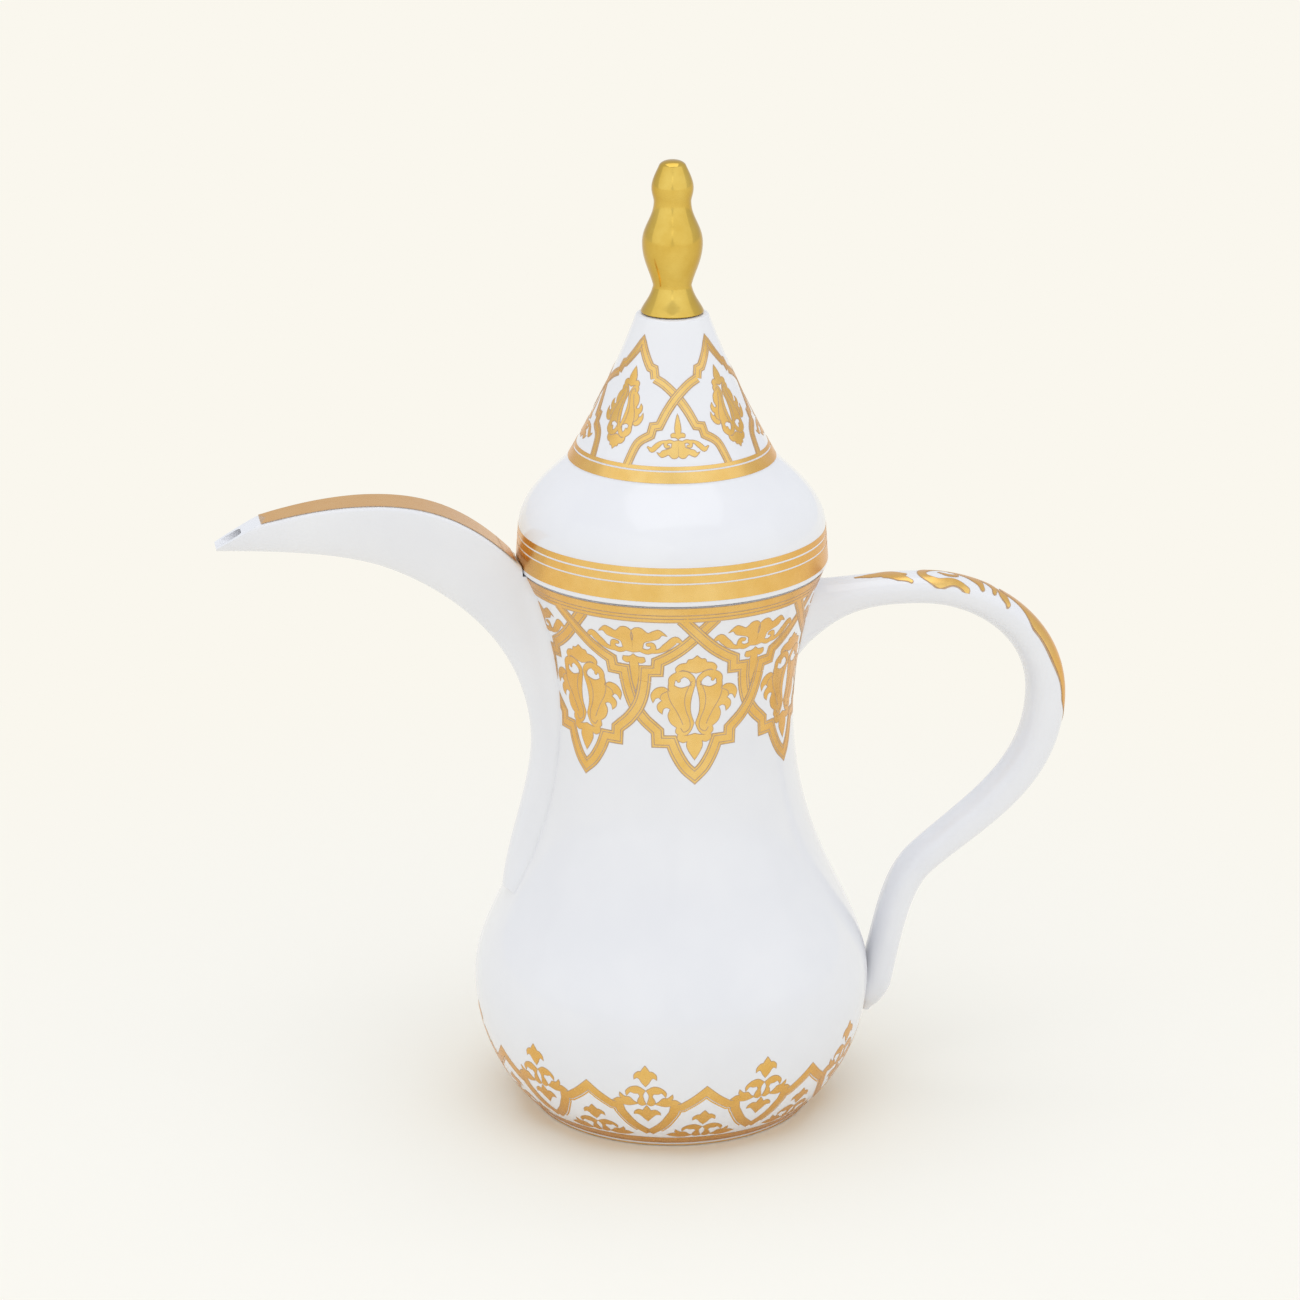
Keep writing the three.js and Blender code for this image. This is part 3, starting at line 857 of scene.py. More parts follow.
def makeHandle():
    rings = []
    for i in range(grip["steps"] + 1):
        length = gripLengths[-1] * i / grip["steps"]
        rings.append([handlePoint(length, 2 * math.pi * k / grip["sides"]) for k in range(grip["sides"])])
    piece = lofted("porcelain_handle", flared(rings, grip["fillet"], grip["filletReach"]))
    cutBy(piece, bodyCore(grip["sunk"]))
    finished(piece, porcelain, "pot", "glaze", "handle", sharpAngle=50)
    return piece


makeHandle()
print("handle made")


# gilding: thin layers laid on the glaze
# A face maps (u, v) in millimetres and a lift to a point of the surface; its stretch says how far
# u and v run for one real millimetre there.

def turnedFace(radiusAt, reference, turn=0.0):
    def slope(v):
        return (radiusAt(v + 0.4) - radiusAt(v - 0.4)) / 0.8

    def point(u, v, lift):
        angle = u / reference + math.radians(turn)
        lean = slope(v)
        size = math.hypot(1, lean)
        radius = radiusAt(v) + lift / size
        return potPoint(radius * math.sin(angle), -radius * math.cos(angle), v - lift * lean / size)

    def stretch(u, v):
        return reference / radiusAt(v), 1 / math.hypot(1, slope(v))
    return {"point": point, "stretch": stretch, "reference": reference}


def ribbonEdge(face, line, widths, spread=0.0, shift=0.0, flat=False):
    # the outline of a stroke drawn along a line, with its widths spaced evenly over its length
    scale = [face["stretch"](u, v) for u, v in line]
    flatLine = [Vector((0, 0))]
    for i in range(1, len(line)):
        ku, kv = scale[i]
        flatLine.append(flatLine[-1] + Vector(((line[i][0] - line[i - 1][0]) / ku,
                                               (line[i][1] - line[i - 1][1]) / kv)))
    steps = [(b - a).normalized() for a, b in zip(flatLine, flatLine[1:])]
    total = sum((b - a).length for a, b in zip(flatLine, flatLine[1:]))
    left = []
    right = []
    done = 0.0
    for i in range(len(line)):
        before = steps[max(i - 1, 0)]
        after = steps[min(i, len(steps) - 1)]
        along = (before + after).normalized()
        mitre = 1 / max(0.6, along.dot(before))
        if i:
            done += (flatLine[i] - flatLine[i - 1]).length
        place = min(done / total, 0.9999) * (len(widths) - 1)
        k = int(place)
        width = widths[k] + (widths[k + 1] - widths[k]) * smoothStep(place - k, 0, 1)
        half = (width / 2 + spread) * mitre
        ku, kv = scale[i]
        u, v = line[i]
        for side, store in ((1, left), (-1, right)):
            off = side * half + shift * mitre
            store.append((u - along.y * off * ku, v + along.x * off * kv))
        if not flat and i in (0, len(line) - 1):
            radius = width / 2 + spread
            way = -1 if i == 0 else 1
            cap = []
            for degrees in (60, 30, 0, -30, -60):
                angle = math.radians(degrees)
                ahead = way * math.cos(angle) * radius
                aside = math.sin(angle) * radius + shift
                cap.append((u + (along.x * ahead - along.y * aside) * ku,
                            v + (along.y * ahead + along.x * aside) * kv))
            if i == 0:
                startCap = cap[::-1]
            else:
                endCap = cap
    if flat:
        return [*left, *reversed(right)]
    return [*startCap, *left, *endCap, *reversed(right)]


def windingOf(outline, points):
    # how many times an outline turns round each point
    turns = np.zeros(len(points), dtype=int)
    ends = np.roll(outline, -1, axis=0)
    for (x0, y0), (x1, y1) in zip(outline, ends):
        side = (x1 - x0) * (points[:, 1] - y0) - (points[:, 0] - x0) * (y1 - y0)
        turns += ((y0 <= points[:, 1]) & (y1 > points[:, 1]) & (side > 0)).astype(int)
        turns -= ((y0 > points[:, 1]) & (y1 <= points[:, 1]) & (side < 0)).astype(int)
    return turns


def covered(outlines, points):
    inside = np.zeros(len(points), dtype=bool)
    for outline in outlines:
        low, high = outline.min(axis=0), outline.max(axis=0)
        near = np.where(~inside & (points >= low).all(axis=1) & (points <= high).all(axis=1))[0]
        if len(near):
            inside[near] = windingOf(outline, points[near]) != 0
    return inside


def closeSpaced(outline, step):
    points = []
    for a, b in zip(outline, [*outline[1:], outline[0]]):
        count = max(1, math.ceil(math.dist(a, b) / step))
        points += [(a[0] + (b[0] - a[0]) * k / count, a[1] + (b[1] - a[1]) * k / count) for k in range(count)]
    return points


def gilded(name, face, outlines, material, body, top, step=1.6):
    # one thin closed layer over every outline, which may overlap
    outlines = [closeSpaced(outline, step) for outline in outlines]
    arrays = [np.array(outline) for outline in outlines]
    joined = np.vstack(arrays)
    low, high = joined.min(axis=0), joined.max(axis=0)
    grid = np.stack(np.meshgrid(np.arange(low[0], high[0], step), np.arange(low[1], high[1], step)), -1)
    grid = grid.reshape(-1, 2)
    grid = grid[covered(arrays, grid)]
    spots = [Vector(p) for p in joined] + [Vector(p) for p in grid]
    edges = []
    start = 0
    for outline in outlines:
        edges += [(start + k, start + (k + 1) % len(outline)) for k in range(len(outline))]
        start += len(outline)
    flat, _, triangles, _, _, _ = delaunay_2d_cdt(spots, edges, [], 0, 1e-4)
    flatArray = np.array([tuple(p) for p in flat])
    corners = np.array(triangles)
    centres = flatArray[corners].mean(axis=1)
    corners = corners[covered(arrays, centres)]
    used = {old: new for new, old in enumerate(sorted({int(k) for k in corners.ravel()}))}
    count = len(used)
    vertices = [face["point"](*flat[k], lift) for lift in (top, -gilding["sunk"]) for k in used]
    faces = []
    sides = set()
    for a, b, c in corners:
        a, b, c = used[int(a)], used[int(b)], used[int(c)]
        faces += [(a, b, c), (a + count, c + count, b + count)]
        for pair in ((a, b), (b, c), (c, a)):
            if pair[::-1] in sides:
                sides.remove(pair[::-1])
            else:
                sides.add(pair)
    faces += [(b, a, a + count, b + count) for a, b in sorted(sides)]
    piece = meshObject(name, vertices, faces)
    outward(piece)
    finished(piece, material, body, "glaze")


def layered(name, face, layers, body, lift=0.0, step=1.6, ending=""):
    # the outline, the gold and the lines of one drawing, one above the other
    for part, outlines, material, top in zip(("outline", "gold", "lines"), layers, (rim, gold, rim),
                                             ("rimTop", "goldTop", "lineTop")):
        gilded(name + "_" + part + ending, face, outlines, material, body, gilding[top] + lift, step)


def gildedRing(name, radiusAt, bands, material, body, top):
    # bands that run right round, each given as (lowest, highest)
    work = bmesh.new()
    for low, high in bands:
        heights = [low + (high - low) * k / 8 for k in range(9)]
        outline = [(radiusAt(h) + top, h) for h in heights]
        outline += [(radiusAt(h) - gilding["ringSunk"], h) for h in reversed(heights)]
        ring = turned("ring", [*outline, outline[0]], 192)
        work.from_mesh(ring.data)
        bpy.data.objects.remove(ring)
    mesh = bpy.data.meshes.new(name)
    work.to_mesh(mesh)
    work.free()
    piece = bpy.data.objects.new(name, mesh)
    bpy.context.scene.collection.objects.link(piece)
    finished(piece, material, body, "glaze")


gilding = {"rim": 0.36, "fine": 0.22, "rimTop": 0.04, "goldTop": 0.07, "lineTop": 0.09, "over": 0.06,
           "sunk": 0.02, "ringSunk": 0.03}

# Each motif is drawn for its right half, in millimetres. A shape is a closed outline made of smooth
# spans that meet at sharp corners, a stroke is a line with the widths along it, and the veins are
# thin lines over the gold.
cellMotif = {
    "shapes": [
        [[(0, 13.6), (1.3, 12.5), (2.5, 12.3), (3.0, 11.2)],
         [(3.0, 11.2), (5.0, 10.8), (6.2, 9.4), (5.8, 7.9)],
         [(5.8, 7.9), (4.5, 8.9), (3.0, 8.7), (1.5, 8.1), (0, 7.8)]],
        [[(0.5, 2.8), (1.5, 3.5), (4.2, 2.7), (6.2, 3.4), (7.8, 5.0)], [(7.8, 5.0), (8.2, 3.4), (7.7, 1.5)],
         [(7.7, 1.5), (9.6, 3.0), (12.0, 2.4), (13.3, 0.2), (12.7, -2.1)],
         [(12.7, -2.1), (12.0, -0.8), (10.9, -0.5), (9.9, -1.5)],
         [(9.9, -1.5), (11.2, -2.9), (11.1, -4.6), (9.9, -5.8)],
         [(9.9, -5.8), (9.6, -4.3), (8.5, -3.7), (7.3, -4.3)],
         [(7.3, -4.3), (8.0, -6.4), (7.2, -8.8), (5.4, -10.3)],
         [(5.4, -10.3), (5.6, -12.0), (4.0, -13.0), (2.2, -12.6), (1.0, -11.0), (0.3, -9.0)],
         [(0.3, -9.0), (1.3, -5.8), (1.5, -3.0), (1.2, -0.2), (0.5, 2.8)]],
        [[(0, -12.5), (2.4, -13.1), (5.0, -12.7)], [(5.0, -12.7), (5.1, -14.2), (3.6, -15.2), (2.2, -14.8)],
         [(2.2, -14.8), (2.3, -16.6), (1.3, -18.8), (0, -20.8)]],
    ],
    "strokes": [
        ([(0.8, 3.4), (1.2, 5.8), (3.1, 7.4), (5.4, 7.3), (7.1, 5.9), (7.3, 4.2)],
         [1.0, 1.5, 1.7, 1.8, 2.0, 1.6]),
        ([(4.2, 6.9), (5.4, 6.2), (5.2, 5.2)], [1.0, 1.5, 0.8]),
    ],
    "veins": [
        [(1.2, 5.0), (2.4, 2.4), (3.2, -1.0), (2.8, -4.6), (1.6, -8.0), (1.5, -10.6), (3.2, -11.9),
         (4.2, -10.6)],
        [(8.2, 4.4), (8.3, 1.2), (7.4, -1.8), (5.8, -4.6), (4.4, -7.4), (3.6, -9.4)],
        [(8.6, 1.6), (10.2, 0.6), (10.6, -1.0)],
    ]}
wingMotif = {
    "shapes": [
        [[(0.1, 4.5), (1.4, 5.5), (3.2, 5.4), (5.0, 3.8), (6.8, 4.6), (8.6, 5.0), (10.6, 3.0)],
         [(10.6, 3.0), (9.2, 3.3), (8.0, 2.0), (5.6, 1.2), (3.6, 0.4), (3.1, -1.2)],
         [(3.1, -1.2), (2.6, -2.6), (1.2, -3.0), (0, -3.2)]],
    ],
    "strokes": [
        ([(2.2, -2.2), (4.4, -2.9), (6.2, -1.9), (6.0, -0.3), (4.8, -0.3)], [1.2, 1.4, 1.5, 1.4, 1.0]),
        ([(4.6, -2.9), (8.2, -2.3), (11.0, -0.2), (13.2, 1.6), (15.2, 0.4)], [0.8, 1.2, 2.2, 2.3, 0.5]),
    ],
    "drop": [
        [[(0, -4.0), (1.2, -4.9), (3.2, -5.0)], [(3.2, -5.0), (3.4, -6.3), (2.2, -7.0), (1.2, -6.7)],
         [(1.2, -6.7), (1.4, -9.4), (0.9, -13.0), (0, -16.6)]],
    ],
    "veins": [[(0.0, 4.2), (0.35, 2.6), (0.1, 1.0)]]}
palmette = {
    "shapes": [
        [[(0, 15.5), (0.9, 14.3), (1.5, 13.3)], [(1.5, 13.3), (2.6, 13.2), (3.8, 12.0), (3.9, 10.4)],
         [(3.9, 10.4), (2.9, 11.0), (2.0, 10.4), (1.2, 9.0), (0, 7.6)]],
        [[(0.2, 0.1), (1.6, -0.5), (3.0, 0.5), (2.7, 2.2), (2.1, 3.4), (2.7, 4.6)],
         [(2.7, 4.6), (4.2, 4.6), (5.6, 5.0), (6.8, 3.4)],
         [(6.8, 3.4), (7.0, 5.2), (5.2, 7.0), (2.7, 7.4), (0.2, 5.8)],
         [(0.2, 5.8), (1.1, 4.0), (0.9, 2.2), (0.2, 0.1)]],
        [[(2.9, 0.3), (4.4, 1.2), (5.8, 2.7), (7.6, 2.9), (9.2, 4.3)], [(9.2, 4.3), (9.3, 3.0), (8.7, 2.0)],
         [(8.7, 2.0), (10.2, 2.0), (11.8, 0.8)], [(11.8, 0.8), (9.6, -0.2), (6.2, -0.7), (2.9, 0.3)]],
    ],
    "strokes": [], "veins": []}
trefoil = {
    "shapes": [
        [[(0, -0.3), (0.8, -1.6), (1.2, -2.4)], [(1.2, -2.4), (2.6, -2.1), (3.8, -3.1), (4.0, -4.2)],
         [(4.0, -4.2), (2.7, -4.2), (1.5, -5.4), (0, -7.4)]],
    ],
    "strokes": [], "veins": []}


def motif(face, drawing, middle, scale=1.0, upside=1, halves=(1, -1), spread=0.0, parts=("shapes",),
          slim=1.0):
    # the outlines of a motif at a place (u, v) of a face, grown by the spread
    def placed(points, side):
        line = []
        for x, y in points:
            v = middle[1] + y * scale * upside * face["stretch"](*middle)[1]
            line.append((middle[0] + x * slim * scale * side * face["stretch"](middle[0], v)[0], v))
        return line
    outlines = []
    for side in halves:
        for part in parts:
            for spans in drawing[part]:
                outline = [p for span in spans for p in throughPoints(span, 4)[:-1]]
                if spans[-1][-1] != spans[0][0]:
                    outline.append(spans[-1][-1])
                outline = placed(outline, side)
                outlines.append(outline)
                if spread:
                    outlines.append(ribbonEdge(face, [*outline, outline[0]], [0.02, 0.02], spread))
        for points, widths in drawing["strokes"]:
            outlines.append(ribbonEdge(face, placed(throughPoints(points, 5), side),
                                       [w * scale for w in widths], spread))
    return outlines


def addMotif(rims, golds, spread, face, drawing, middle, **options):
    # the motif in gold, and grown by the spread for the outline under it
    rims += motif(face, drawing, middle, spread=spread, **options)
    golds += motif(face, drawing, middle, **options)


def veins(face, drawing, middle, width, scale=1.0, upside=1, halves=(1, -1), slim=1.0):
    lines = {"shapes": [], "strokes": [(line, [width / scale] * 2) for line in drawing["veins"]]}
    return motif(face, lines, middle, scale, upside, halves, slim=slim)


def inDegrees(face, points):
    return [(math.radians(a) * face["reference"], v) for a, v in points]


def mirrored(line):
    return [(-u, v) for u, v in line]


def moved(line, across):
    return [(u + across, v) for u, v in line]


# gilding on the neck

neck = {"period": 53.4, "limit": 89.5, "reference": 40, "ribbon": 3.4, "line": 0.3, "lineShift": 1.12,
        "vein": 0.26, "cellHeight": 145.2, "wingHeight": 162.8,
        "bands": [(173.0, 175.25), (171.85, 172.65), (170.55, 171.5)], "bandTop": 0.17,
        "backing": (170.25, 175.45), "backingTop": 0.13}


def closeLine(line, step=0.9):
    points = []
    for a, b in zip(line, line[1:]):
        count = max(1, math.ceil(math.dist(a, b) / step))
        points += [(a[0] + (b[0] - a[0]) * k / count, a[1] + (b[1] - a[1]) * k / count) for k in range(count)]
    return [*points, line[-1]]


def neckStrand(face):
    # one interlaced strand: the point at its foot, then the part up to the shoulder, then to the rim
    tip = throughPoints([(0, 119.4), (4.4, 122.2), (8.2, 126.4), (10.6, 130.4)], 8)
    tip += [(16.9, 130.4), (17.1, 133.6), (19.2, 134.9)]
    rise = throughPoints([(19.2, 134.9), (23.2, 137.4), (27.2, 141.2), (29.6, 145.4), (30.9, 150.0)], 8)
    upper = [(30.9, 150.0), (31.3, 153.4), (36.6, 153.6), (37.0, 156.6)]
    upper += throughPoints([(37.0, 156.6), (42.0, 158.6), (47.6, 161.6), (53.4, 165.8), (60.0, 171.2)], 8)[1:]
    return [inDegrees(face, closeLine(part)) for part in (tip, rise, upper)]


def ribbons(face, lines, width, lineWidth, lineShift):
    # the outline, gold and edge lines of ribbons drawn along the lines
    rims = [ribbonEdge(face, line, [width] * 2, gilding["rim"], flat=True) for line in lines]
    golds = [ribbonEdge(face, line, [width] * 2, flat=True) for line in lines]
    edges = [ribbonEdge(face, line, [lineWidth] * 2, shift=shift, flat=True)
             for line in lines for shift in (lineShift, -lineShift)]
    return rims, golds, edges


def gildNeck(side, turn):
    face = turnedFace(bodyRadius, neck["reference"], turn)
    period = math.radians(neck["period"]) * neck["reference"]
    limit = math.radians(neck["limit"]) * neck["reference"]
    tip, rise, upper = neckStrand(face)
    point = [*reversed(mirrored(tip)), *tip[1:]]
    under, over = [], []
    for k in (-1, 0, 1):
        under.append(moved(point, k * period))
    for k in range(-3, 4):
        for flip in (1, -1):
            for part, store in ((rise, over if flip > 0 else under), (upper, under if flip > 0 else over)):
                line = moved(part if flip > 0 else mirrored(part), k * period)
                line = [p for p in line if abs(p[0]) <= limit]
                if len(line) > 3 and (part is upper or abs(k) < 2 or len(line) > 12):
                    store.append(line)
    rims, golds, lines = ribbons(face, under, neck["ribbon"], neck["line"], neck["lineShift"])
    for k in (-1, 0, 1):
        cell = (k * period, neck["cellHeight"])
        addMotif(rims, golds, gilding["fine"], face, cellMotif, cell)
        lines += veins(face, cellMotif, cell, neck["vein"])
    for k, halves in ((-1.5, (1,)), (-0.5, (1, -1)), (0.5, (1, -1)), (1.5, (-1,))):
        wing = (k * period, neck["wingHeight"])
        parts = ("shapes", "drop") if len(halves) > 1 else ("shapes",)
        addMotif(rims, golds, gilding["fine"], face, wingMotif, wing, halves=halves, parts=parts)
        lines += veins(face, wingMotif, wing, neck["vein"], halves=halves)
    layered("neck", face, (rims, golds, lines), "pot", ending="_" + side)
    layers = ribbons(face, over, neck["ribbon"], neck["line"], neck["lineShift"])
    layered("neck_over", face, layers, "pot", gilding["over"], ending="_" + side)


gildNeck("front", 0)
gildNeck("back", 180)
gildedRing("neck_band_backing", bodyRadius, [neck["backing"]], rim, "pot", neck["backingTop"])
gildedRing("neck_bands", bodyRadius, neck["bands"], gold, "pot", neck["bandTop"])
print("neck gilded")


# gilding round the foot

foot = {"repeats": 10, "reference": 56, "ribbon": 2.7, "inner": 0.45, "innerShift": 2.0, "outline": 0.2,
        "palmetteHeight": 20.2, "palmetteSlim": 0.88, "trefoilHeight": 19.9,
        "innerHeight": 5.9, "innerScale": 0.98, "innerSlim": 0.9,
        "band": (0.3, 4.7), "bandTop": 0.12, "step": 1.8}


def gildFoot():
    face = turnedFace(bodyRadius, foot["reference"])
    half = throughPoints([(0, 25.2), (3.4, 22.0), (7.2, 19.2)], 7)
    half += [(9.4, 19.0), (9.8, 16.8)]
    half += throughPoints([(9.8, 16.8), (13.2, 11.4), (18.0, 7.4)], 7)[1:]
    half = inDegrees(face, closeLine(half))
    period = 2 * math.pi * foot["reference"] / foot["repeats"]
    peak = [*reversed(mirrored(half)), *half[1:]]
    rims, golds = [], []
    for k in range(foot["repeats"]):
        line = moved(peak, k * period)
        rims.append(ribbonEdge(face, line, [foot["ribbon"]] * 2, foot["outline"], flat=True))
        golds.append(ribbonEdge(face, line, [foot["ribbon"]] * 2, flat=True))
        golds.append(ribbonEdge(face, line[6:-6], [foot["inner"]] * 2, shift=-foot["innerShift"], flat=True))
        addMotif(rims, golds, foot["outline"], face, palmette, ((k + 0.5) * period, foot["palmetteHeight"]),
                 slim=foot["palmetteSlim"])
        addMotif(rims, golds, foot["outline"], face, trefoil, ((k + 0.5) * period, foot["trefoilHeight"]))
        addMotif(rims, golds, foot["outline"], face, palmette, (k * period, foot["innerHeight"]),
                 scale=foot["innerScale"], slim=foot["innerSlim"])
    layered("foot", face, (rims, golds), "pot", step=foot["step"])
    gildedRing("foot_band", bodyRadius, [foot["band"]], gold, "pot", foot["bandTop"])


gildFoot()
print("foot gilded")


# gilding on the lid

cone = {"turn": -6.5, "reference": 24, "ribbon": 2.2, "line": 0.24, "lineShift": 0.68, "tips": 4,
        "cell": 0.74, "slim": 0.72, "cellHeight": 226.2, "arch": 0.6, "archHeight": 219.0, "step": 1.2,
        "bands": [(209.35, 212.3), (212.8, 213.8)], "bandTop": 0.16,
        "rimBands": [(186.05, 187.9), (183.3, 185.5), (177.65, 182.8)], "rimBandTop": 0.08}


def gildCone():
    period = math.radians(360 / cone["tips"]) * cone["reference"]
    face = turnedFace(lidRadius, cone["reference"], cone["turn"])
    peak = throughPoints([(-45, 247.0), (-37, 243.8), (-28, 240.4)], 7)
    peak += [(-23.5, 240.0), (-21.0, 237.4)]
    strand = throughPoints([(-21.0, 237.4), (-11, 235.8), (0, 232.6), (8.0, 228.8), (13.5, 224.6)], 7)
    strand += [(18.0, 224.3), (19.0, 222.0)]
    strand += throughPoints([(19.0, 222.0), (27.5, 219.4), (31.5, 213.6)], 7)[1:]
    peak = [(u + period / 2, v) for u, v in inDegrees(face, closeLine(peak, 1.0))]
    strand = inDegrees(face, closeLine(strand, 1.0))
    point = [*reversed(mirrored(peak)), *peak[1:]]
    under, over = [], []
    for k in range(cone["tips"]):
        under.append(moved(point, (k - 0.5) * period))
        under.append(moved(strand, k * period))
        over.append(moved(mirrored(strand), k * period))
    rims, golds, lines = ribbons(face, under, cone["ribbon"], cone["line"], cone["lineShift"])
    for k in range(cone["tips"]):
        cell = ((k + 0.5) * period, cone["cellHeight"])
        arch = (k * period, cone["archHeight"])
        addMotif(rims, golds, gilding["fine"], face, cellMotif, cell, scale=cone["cell"], upside=-1,
                 slim=cone["slim"])
        for drawing in (wingMotif, {"shapes": wingMotif["drop"], "strokes": []}):
            addMotif(rims, golds, gilding["fine"], face, drawing, arch, scale=cone["arch"], upside=-1)
        lines += veins(face, cellMotif, cell, cone["line"], cone["cell"], upside=-1, slim=cone["slim"])
    layered("cone", face, (rims, golds, lines), "lid", step=cone["step"])
    layers = ribbons(face, over, cone["ribbon"], cone["line"], cone["lineShift"])
    layered("cone_over", face, layers, "lid", gilding["over"], cone["step"])
    gildedRing("cone_bands", lidRadius, cone["bands"], gold, "lid", cone["bandTop"])
    gildedRing("lid_rim_bands", lidRadius, cone["rimBands"], gold, "lid", cone["rimBandTop"])


gildCone()
print("lid gilded")


# gilding on the beak and the handle

def beakFace():
    ridge = beakRidge()
    lengths = [0]
    for a, b in zip(ridge, ridge[1:]):
        lengths.append(lengths[-1] + math.dist(a, b))

    def point(u, v, lift):
        i = max(0, min(len(ridge) - 2, next((k for k, s in enumerate(lengths) if s > u), len(ridge)) - 1))
        t = (u - lengths[i]) / (lengths[i + 1] - lengths[i])
        a, b = Vector(ridge[i]), Vector(ridge[i + 1])
        here = a.lerp(b, t)
        along = (Vector(ridge[min(i + 2, len(ridge) - 1)]) - Vector(ridge[max(i - 1, 0)])).normalized()
        return potPoint(-(here.x + along.y * lift), v, here.y - along.x * lift)

    def lengthAt(reach):
        return next(s for s, p in zip(lengths, ridge) if p[0] <= reach)
    return {"point": point, "stretch": lambda u, v: (1, 1), "lengthAt": lengthAt, "lengths": lengths}


strip = {"start": 126.3, "end": 50.6, "inset": 0.75, "lineFrom": 53.2, "line": 0.4, "notch": 1.6,
         "rim": 0.3, "steps": 40}


def gildBeak():
    face = beakFace()
    start, end, line = (face["lengthAt"](strip[k]) for k in ("start", "end", "lineFrom"))

    def halfAt(u):
        near = next(k for k, length in enumerate(face["lengths"]) if length >= u)
        return beakHalfWidth(near / (len(face["lengths"]) - 1)) - strip["inset"]

    def patch(a, b, grow, notch=0.0):
        steps = [a + (b - a) * k / strip["steps"] for k in range(strip["steps"] + 1)]
        upper = [(u, halfAt(u) + grow) for u in steps]
        lower = [(u, -halfAt(u) - grow) for u in reversed(steps)]
        return [*upper, *lower, (a + notch, 0)] if notch else [*upper, *lower]
    rims = [patch(start - strip["rim"], end + strip["rim"], strip["rim"])]
    golds = [patch(start, line, 0, strip["notch"]), patch(line + strip["line"], end, 0)]
    layered("beak", face, (rims, golds), "pot")


gildBeak()


def handleFace():
    def point(u, v, lift):
        halfThickness, halfWidth = handleSize(u / gripLengths[-1])
        share = min(0.97, abs(v) / halfWidth)
        angle = math.asin(share ** (grip["squareness"] / 2))
        return potPoint(*handlePoint(u, math.copysign(angle, v), lift))
    return {"point": point, "stretch": lambda u, v: (1, 1)}


# the vine's strokes run from the neck outwards; x is measured from the pot's axis
vine = [
    ([(58, 1.0), (63, 0.8), (68, 0.4), (72, 1.6)], [0.5, 2.6, 4.0, 1.2]),
    ([(66, 2.2), (70, 3.0), (73.4, 5.0)], [1.4, 3.0, 0.8]),
    ([(92, -3.6), (84, -4.2), (78.4, -1.2), (77.4, 2.6), (81.2, 5.2), (86.0, 4.6), (90.2, 6.2)],
     [0.8, 2.0, 2.2, 2.3, 2.2, 2.2, 1.0]),
    ([(82.4, 0.2), (84.6, 1.6), (87.0, 1.2), (87.4, -0.4)], [0.5, 1.3, 1.3, 0.5]),
    ([(86, -2.0), (90, -1.2), (93, 1.2), (94.6, 4.6)], [0.8, 3.2, 3.6, 1.2]),
    ([(92, -3.0), (95.6, -1.4), (98.2, 1.6), (98.4, 4.4)], [1.2, 2.6, 2.4, 1.0]),
    ([(99.6, 1.6), (101.4, 3.8), (103.4, 5.6)], [0.8, 2.4, 1.0]),
]
vineStart = {"reach": 59, "stretch": 1.03}

# the strap over the bend; its line is measured along the handle from the reach
strap = {"reach": 100, "line": [(3, 0), (8, 0.2), (21, 0.2), (34, 0), (49, 0)],
         "widths": [5, 11.8, 12.2, 11, 1.5]}
handleGilding = {"rim": 0.28, "rimLift": 0.05, "goldLift": 0.08, "step": 0.8}


def gildHandle():
    face = handleFace()

    def lengthAt(reach):
        return next(s for s, p in zip(gripLengths, gripLine) if p[0] >= reach)
    first = lengthAt(vineStart["reach"])
    strokes = []
    for points, widths in vine:
        line = [(first + (x - vineStart["reach"]) * vineStart["stretch"], v) for x, v in points]
        strokes.append((throughPoints(line, 8), widths))
    low = lengthAt(strap["reach"])
    line = [(low + along, v) for along, v in strap["line"]]
    strokes.append((closeLine(throughPoints(line, 8)), strap["widths"]))
    rims = [ribbonEdge(face, line, widths, handleGilding["rim"]) for line, widths in strokes]
    golds = [ribbonEdge(face, line, widths) for line, widths in strokes]
    gilded("handle_outline", face, rims, rim, "pot", gilding["rimTop"] + handleGilding["rimLift"],
           handleGilding["step"])
    gilded("handle_gold", face, golds, gold, "pot", gilding["goldTop"] + handleGilding["goldLift"],
           handleGilding["step"])


gildHandle()
print("beak and handle gilded")


# floor, light and camera

studio = {"cream": (0.956, 0.93, 0.855), "floorTint": (0.95, 0.925, 0.85), "floorSize": 14,
          "near": 0.1, "far": 0.45, "air": (0.8, 0.82, 0.855),
          "panel": 0.24, "panelWidth": 3.0, "panelHeight": 1.6, "panelDistance": 1.6, "panelTurn": 45.5,
          "panelRise": 0.92, "top": 0.75, "topSize": 1.3, "topHeight": 1.5}


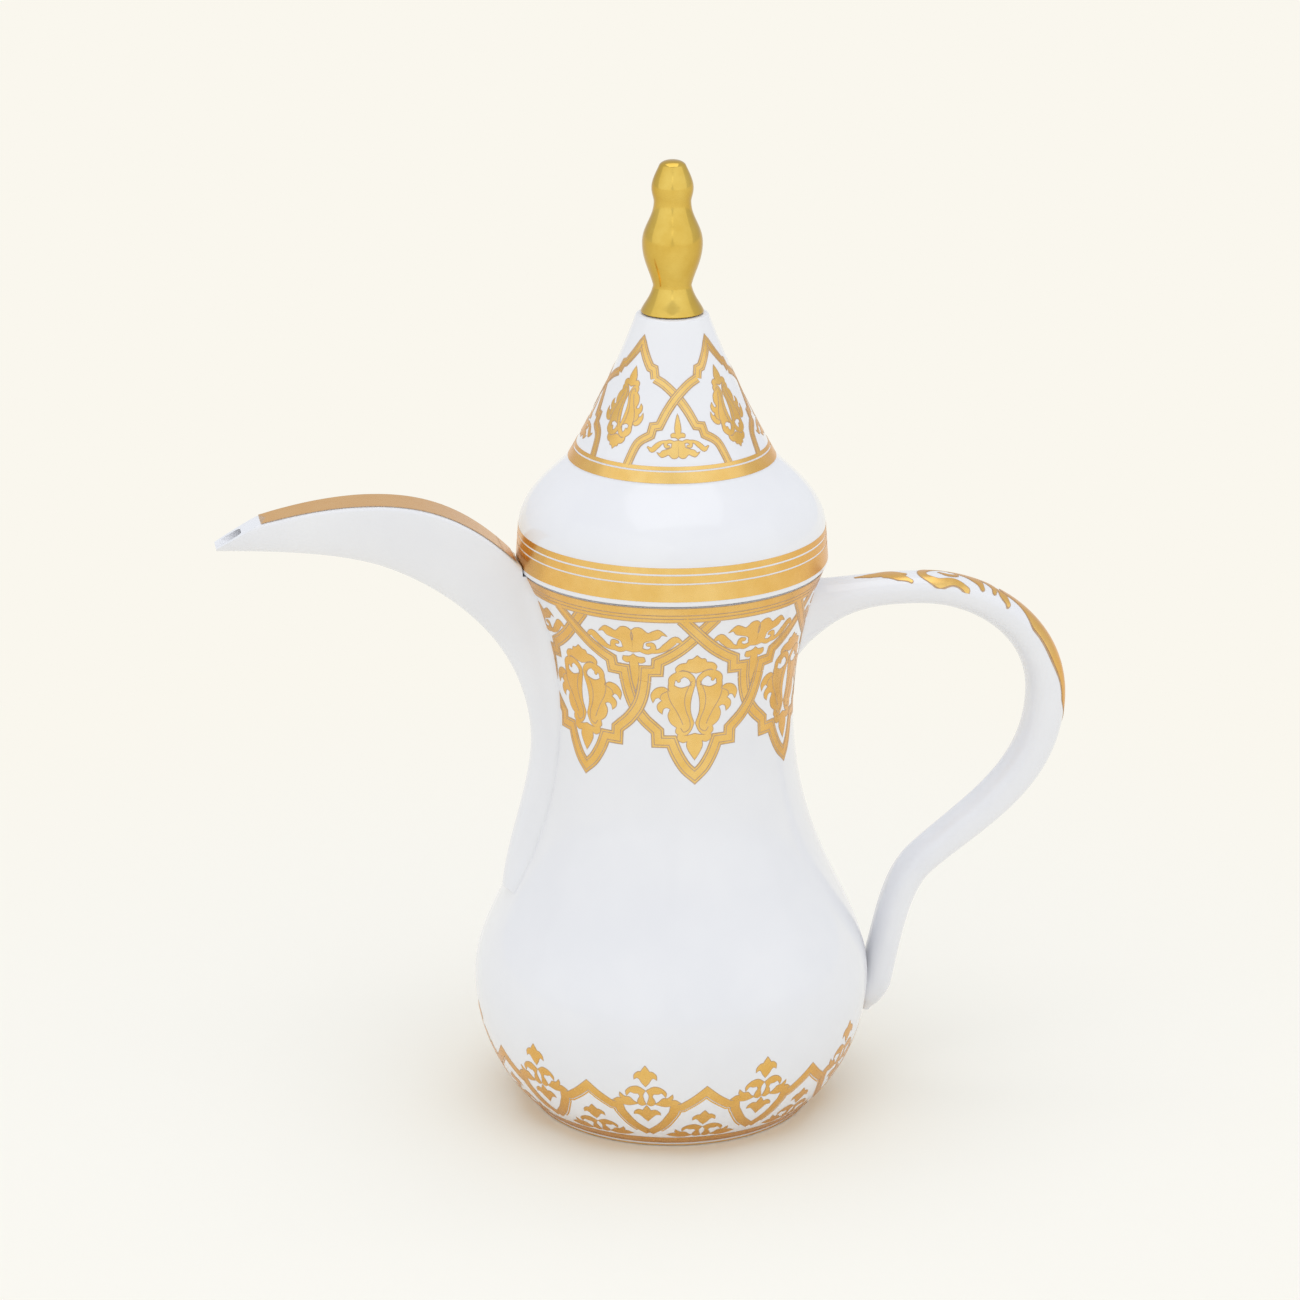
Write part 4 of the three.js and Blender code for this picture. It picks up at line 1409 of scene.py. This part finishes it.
def makeFloor():
    material = bpy.data.materials.new("floor")
    material.use_nodes = True
    tree = material.node_tree
    plain = tree.nodes["Principled BSDF"]
    plain.inputs["Base Color"].default_value = (*studio["floorTint"], 1)
    plain.inputs["Roughness"].default_value = 0.9
    plain.inputs["Specular IOR Level"].default_value = 0.1
    glow = tree.nodes.new("ShaderNodeEmission")
    glow.inputs["Color"].default_value = (*studio["cream"], 1)
    place = tree.nodes.new("ShaderNodeTexCoord").outputs["Object"]
    distance = tree.nodes.new("ShaderNodeVectorMath")
    distance.operation = "LENGTH"
    tree.links.new(place, distance.inputs[0])
    fade = tree.nodes.new("ShaderNodeMapRange")
    fade.interpolation_type = "SMOOTHSTEP"
    fade.inputs["From Min"].default_value = studio["near"]
    fade.inputs["From Max"].default_value = studio["far"]
    tree.links.new(distance.outputs["Value"], fade.inputs["Value"])
    mix = tree.nodes.new("ShaderNodeMixShader")
    tree.links.new(fade.outputs["Result"], mix.inputs[0])
    tree.links.new(plain.outputs[0], mix.inputs[1])
    tree.links.new(glow.outputs[0], mix.inputs[2])
    tree.links.new(mix.outputs[0], tree.nodes["Material Output"].inputs["Surface"])
    half = studio["floorSize"] / 2
    floor = meshObject("floor", [(-half, -half, 0), (half, -half, 0), (half, half, 0), (-half, half, 0)],
                       [(0, 1, 2, 3)])
    floor.location.z = cadLow.z
    floor.data.materials.append(material)


def makeAir():
    world = bpy.data.worlds.new("studio")
    bpy.context.scene.world = world
    world.use_nodes = True
    tree = world.node_tree
    seen = tree.nodes["Background"]
    seen.inputs["Color"].default_value = (*studio["cream"], 1)
    light = tree.nodes.new("ShaderNodeBackground")
    light.inputs["Color"].default_value = (*studio["air"], 1)
    path = tree.nodes.new("ShaderNodeLightPath")
    mix = tree.nodes.new("ShaderNodeMixShader")
    tree.links.new(path.outputs["Is Camera Ray"], mix.inputs[0])
    tree.links.new(light.outputs[0], mix.inputs[1])
    tree.links.new(seen.outputs[0], mix.inputs[2])
    tree.links.new(mix.outputs[0], tree.nodes["World Output"].inputs["Surface"])


shot = {"turn": -10.3, "rise": 18.7, "distance": 1.29, "aimHeight": 0.1472, "lens": 116.3}


def makeLamp(name, place, width, height, brightness):
    # a soft box that faces the pot
    lamp = bpy.data.lights.new(name, "AREA")
    lamp.shape = "RECTANGLE"
    lamp.size = width
    lamp.size_y = height
    lamp.energy = brightness * math.pi * width * height
    holder = bpy.data.objects.new(name, lamp)
    bpy.context.scene.collection.objects.link(holder)
    holder.location = place
    holder.rotation_mode = "QUATERNION"
    facing = Vector((0, 0, shot["aimHeight"])) - holder.location
    holder.rotation_quaternion = facing.to_track_quat("-Z", "Y")


def makePanel(name, turn):
    angle = math.radians(shot["turn"] + turn)
    place = Vector((math.sin(angle), -math.cos(angle), 0)) * studio["panelDistance"]
    place.z = studio["panelRise"]
    makeLamp(name, place, studio["panelWidth"], studio["panelHeight"], studio["panel"])


def makeCamera():
    lens = bpy.data.cameras.new("camera")
    lens.lens = shot["lens"]
    lens.sensor_width = 36
    camera = bpy.data.objects.new("camera", lens)
    bpy.context.scene.collection.objects.link(camera)
    turn, rise = math.radians(shot["turn"]), math.radians(shot["rise"])
    back = Vector((math.sin(turn) * math.cos(rise), -math.cos(turn) * math.cos(rise), math.sin(rise)))
    aim = Vector(((cadLow.x + cadHigh.x) / 2, (cadLow.y + cadHigh.y) / 2, shot["aimHeight"]))
    camera.location = aim + back * shot["distance"]
    camera.rotation_mode = "QUATERNION"
    camera.rotation_quaternion = (-back).to_track_quat("-Z", "Y")
    bpy.context.scene.camera = camera


makeFloor()
makeAir()
makePanel("left_panel", -studio["panelTurn"])
makePanel("right_panel", studio["panelTurn"])
makeLamp("top_panel", Vector((0, 0, studio["topHeight"])), studio["topSize"], studio["topSize"],
         studio["top"])
makeCamera()
bpy.context.scene.view_settings.view_transform = "Standard"
print("stage made")
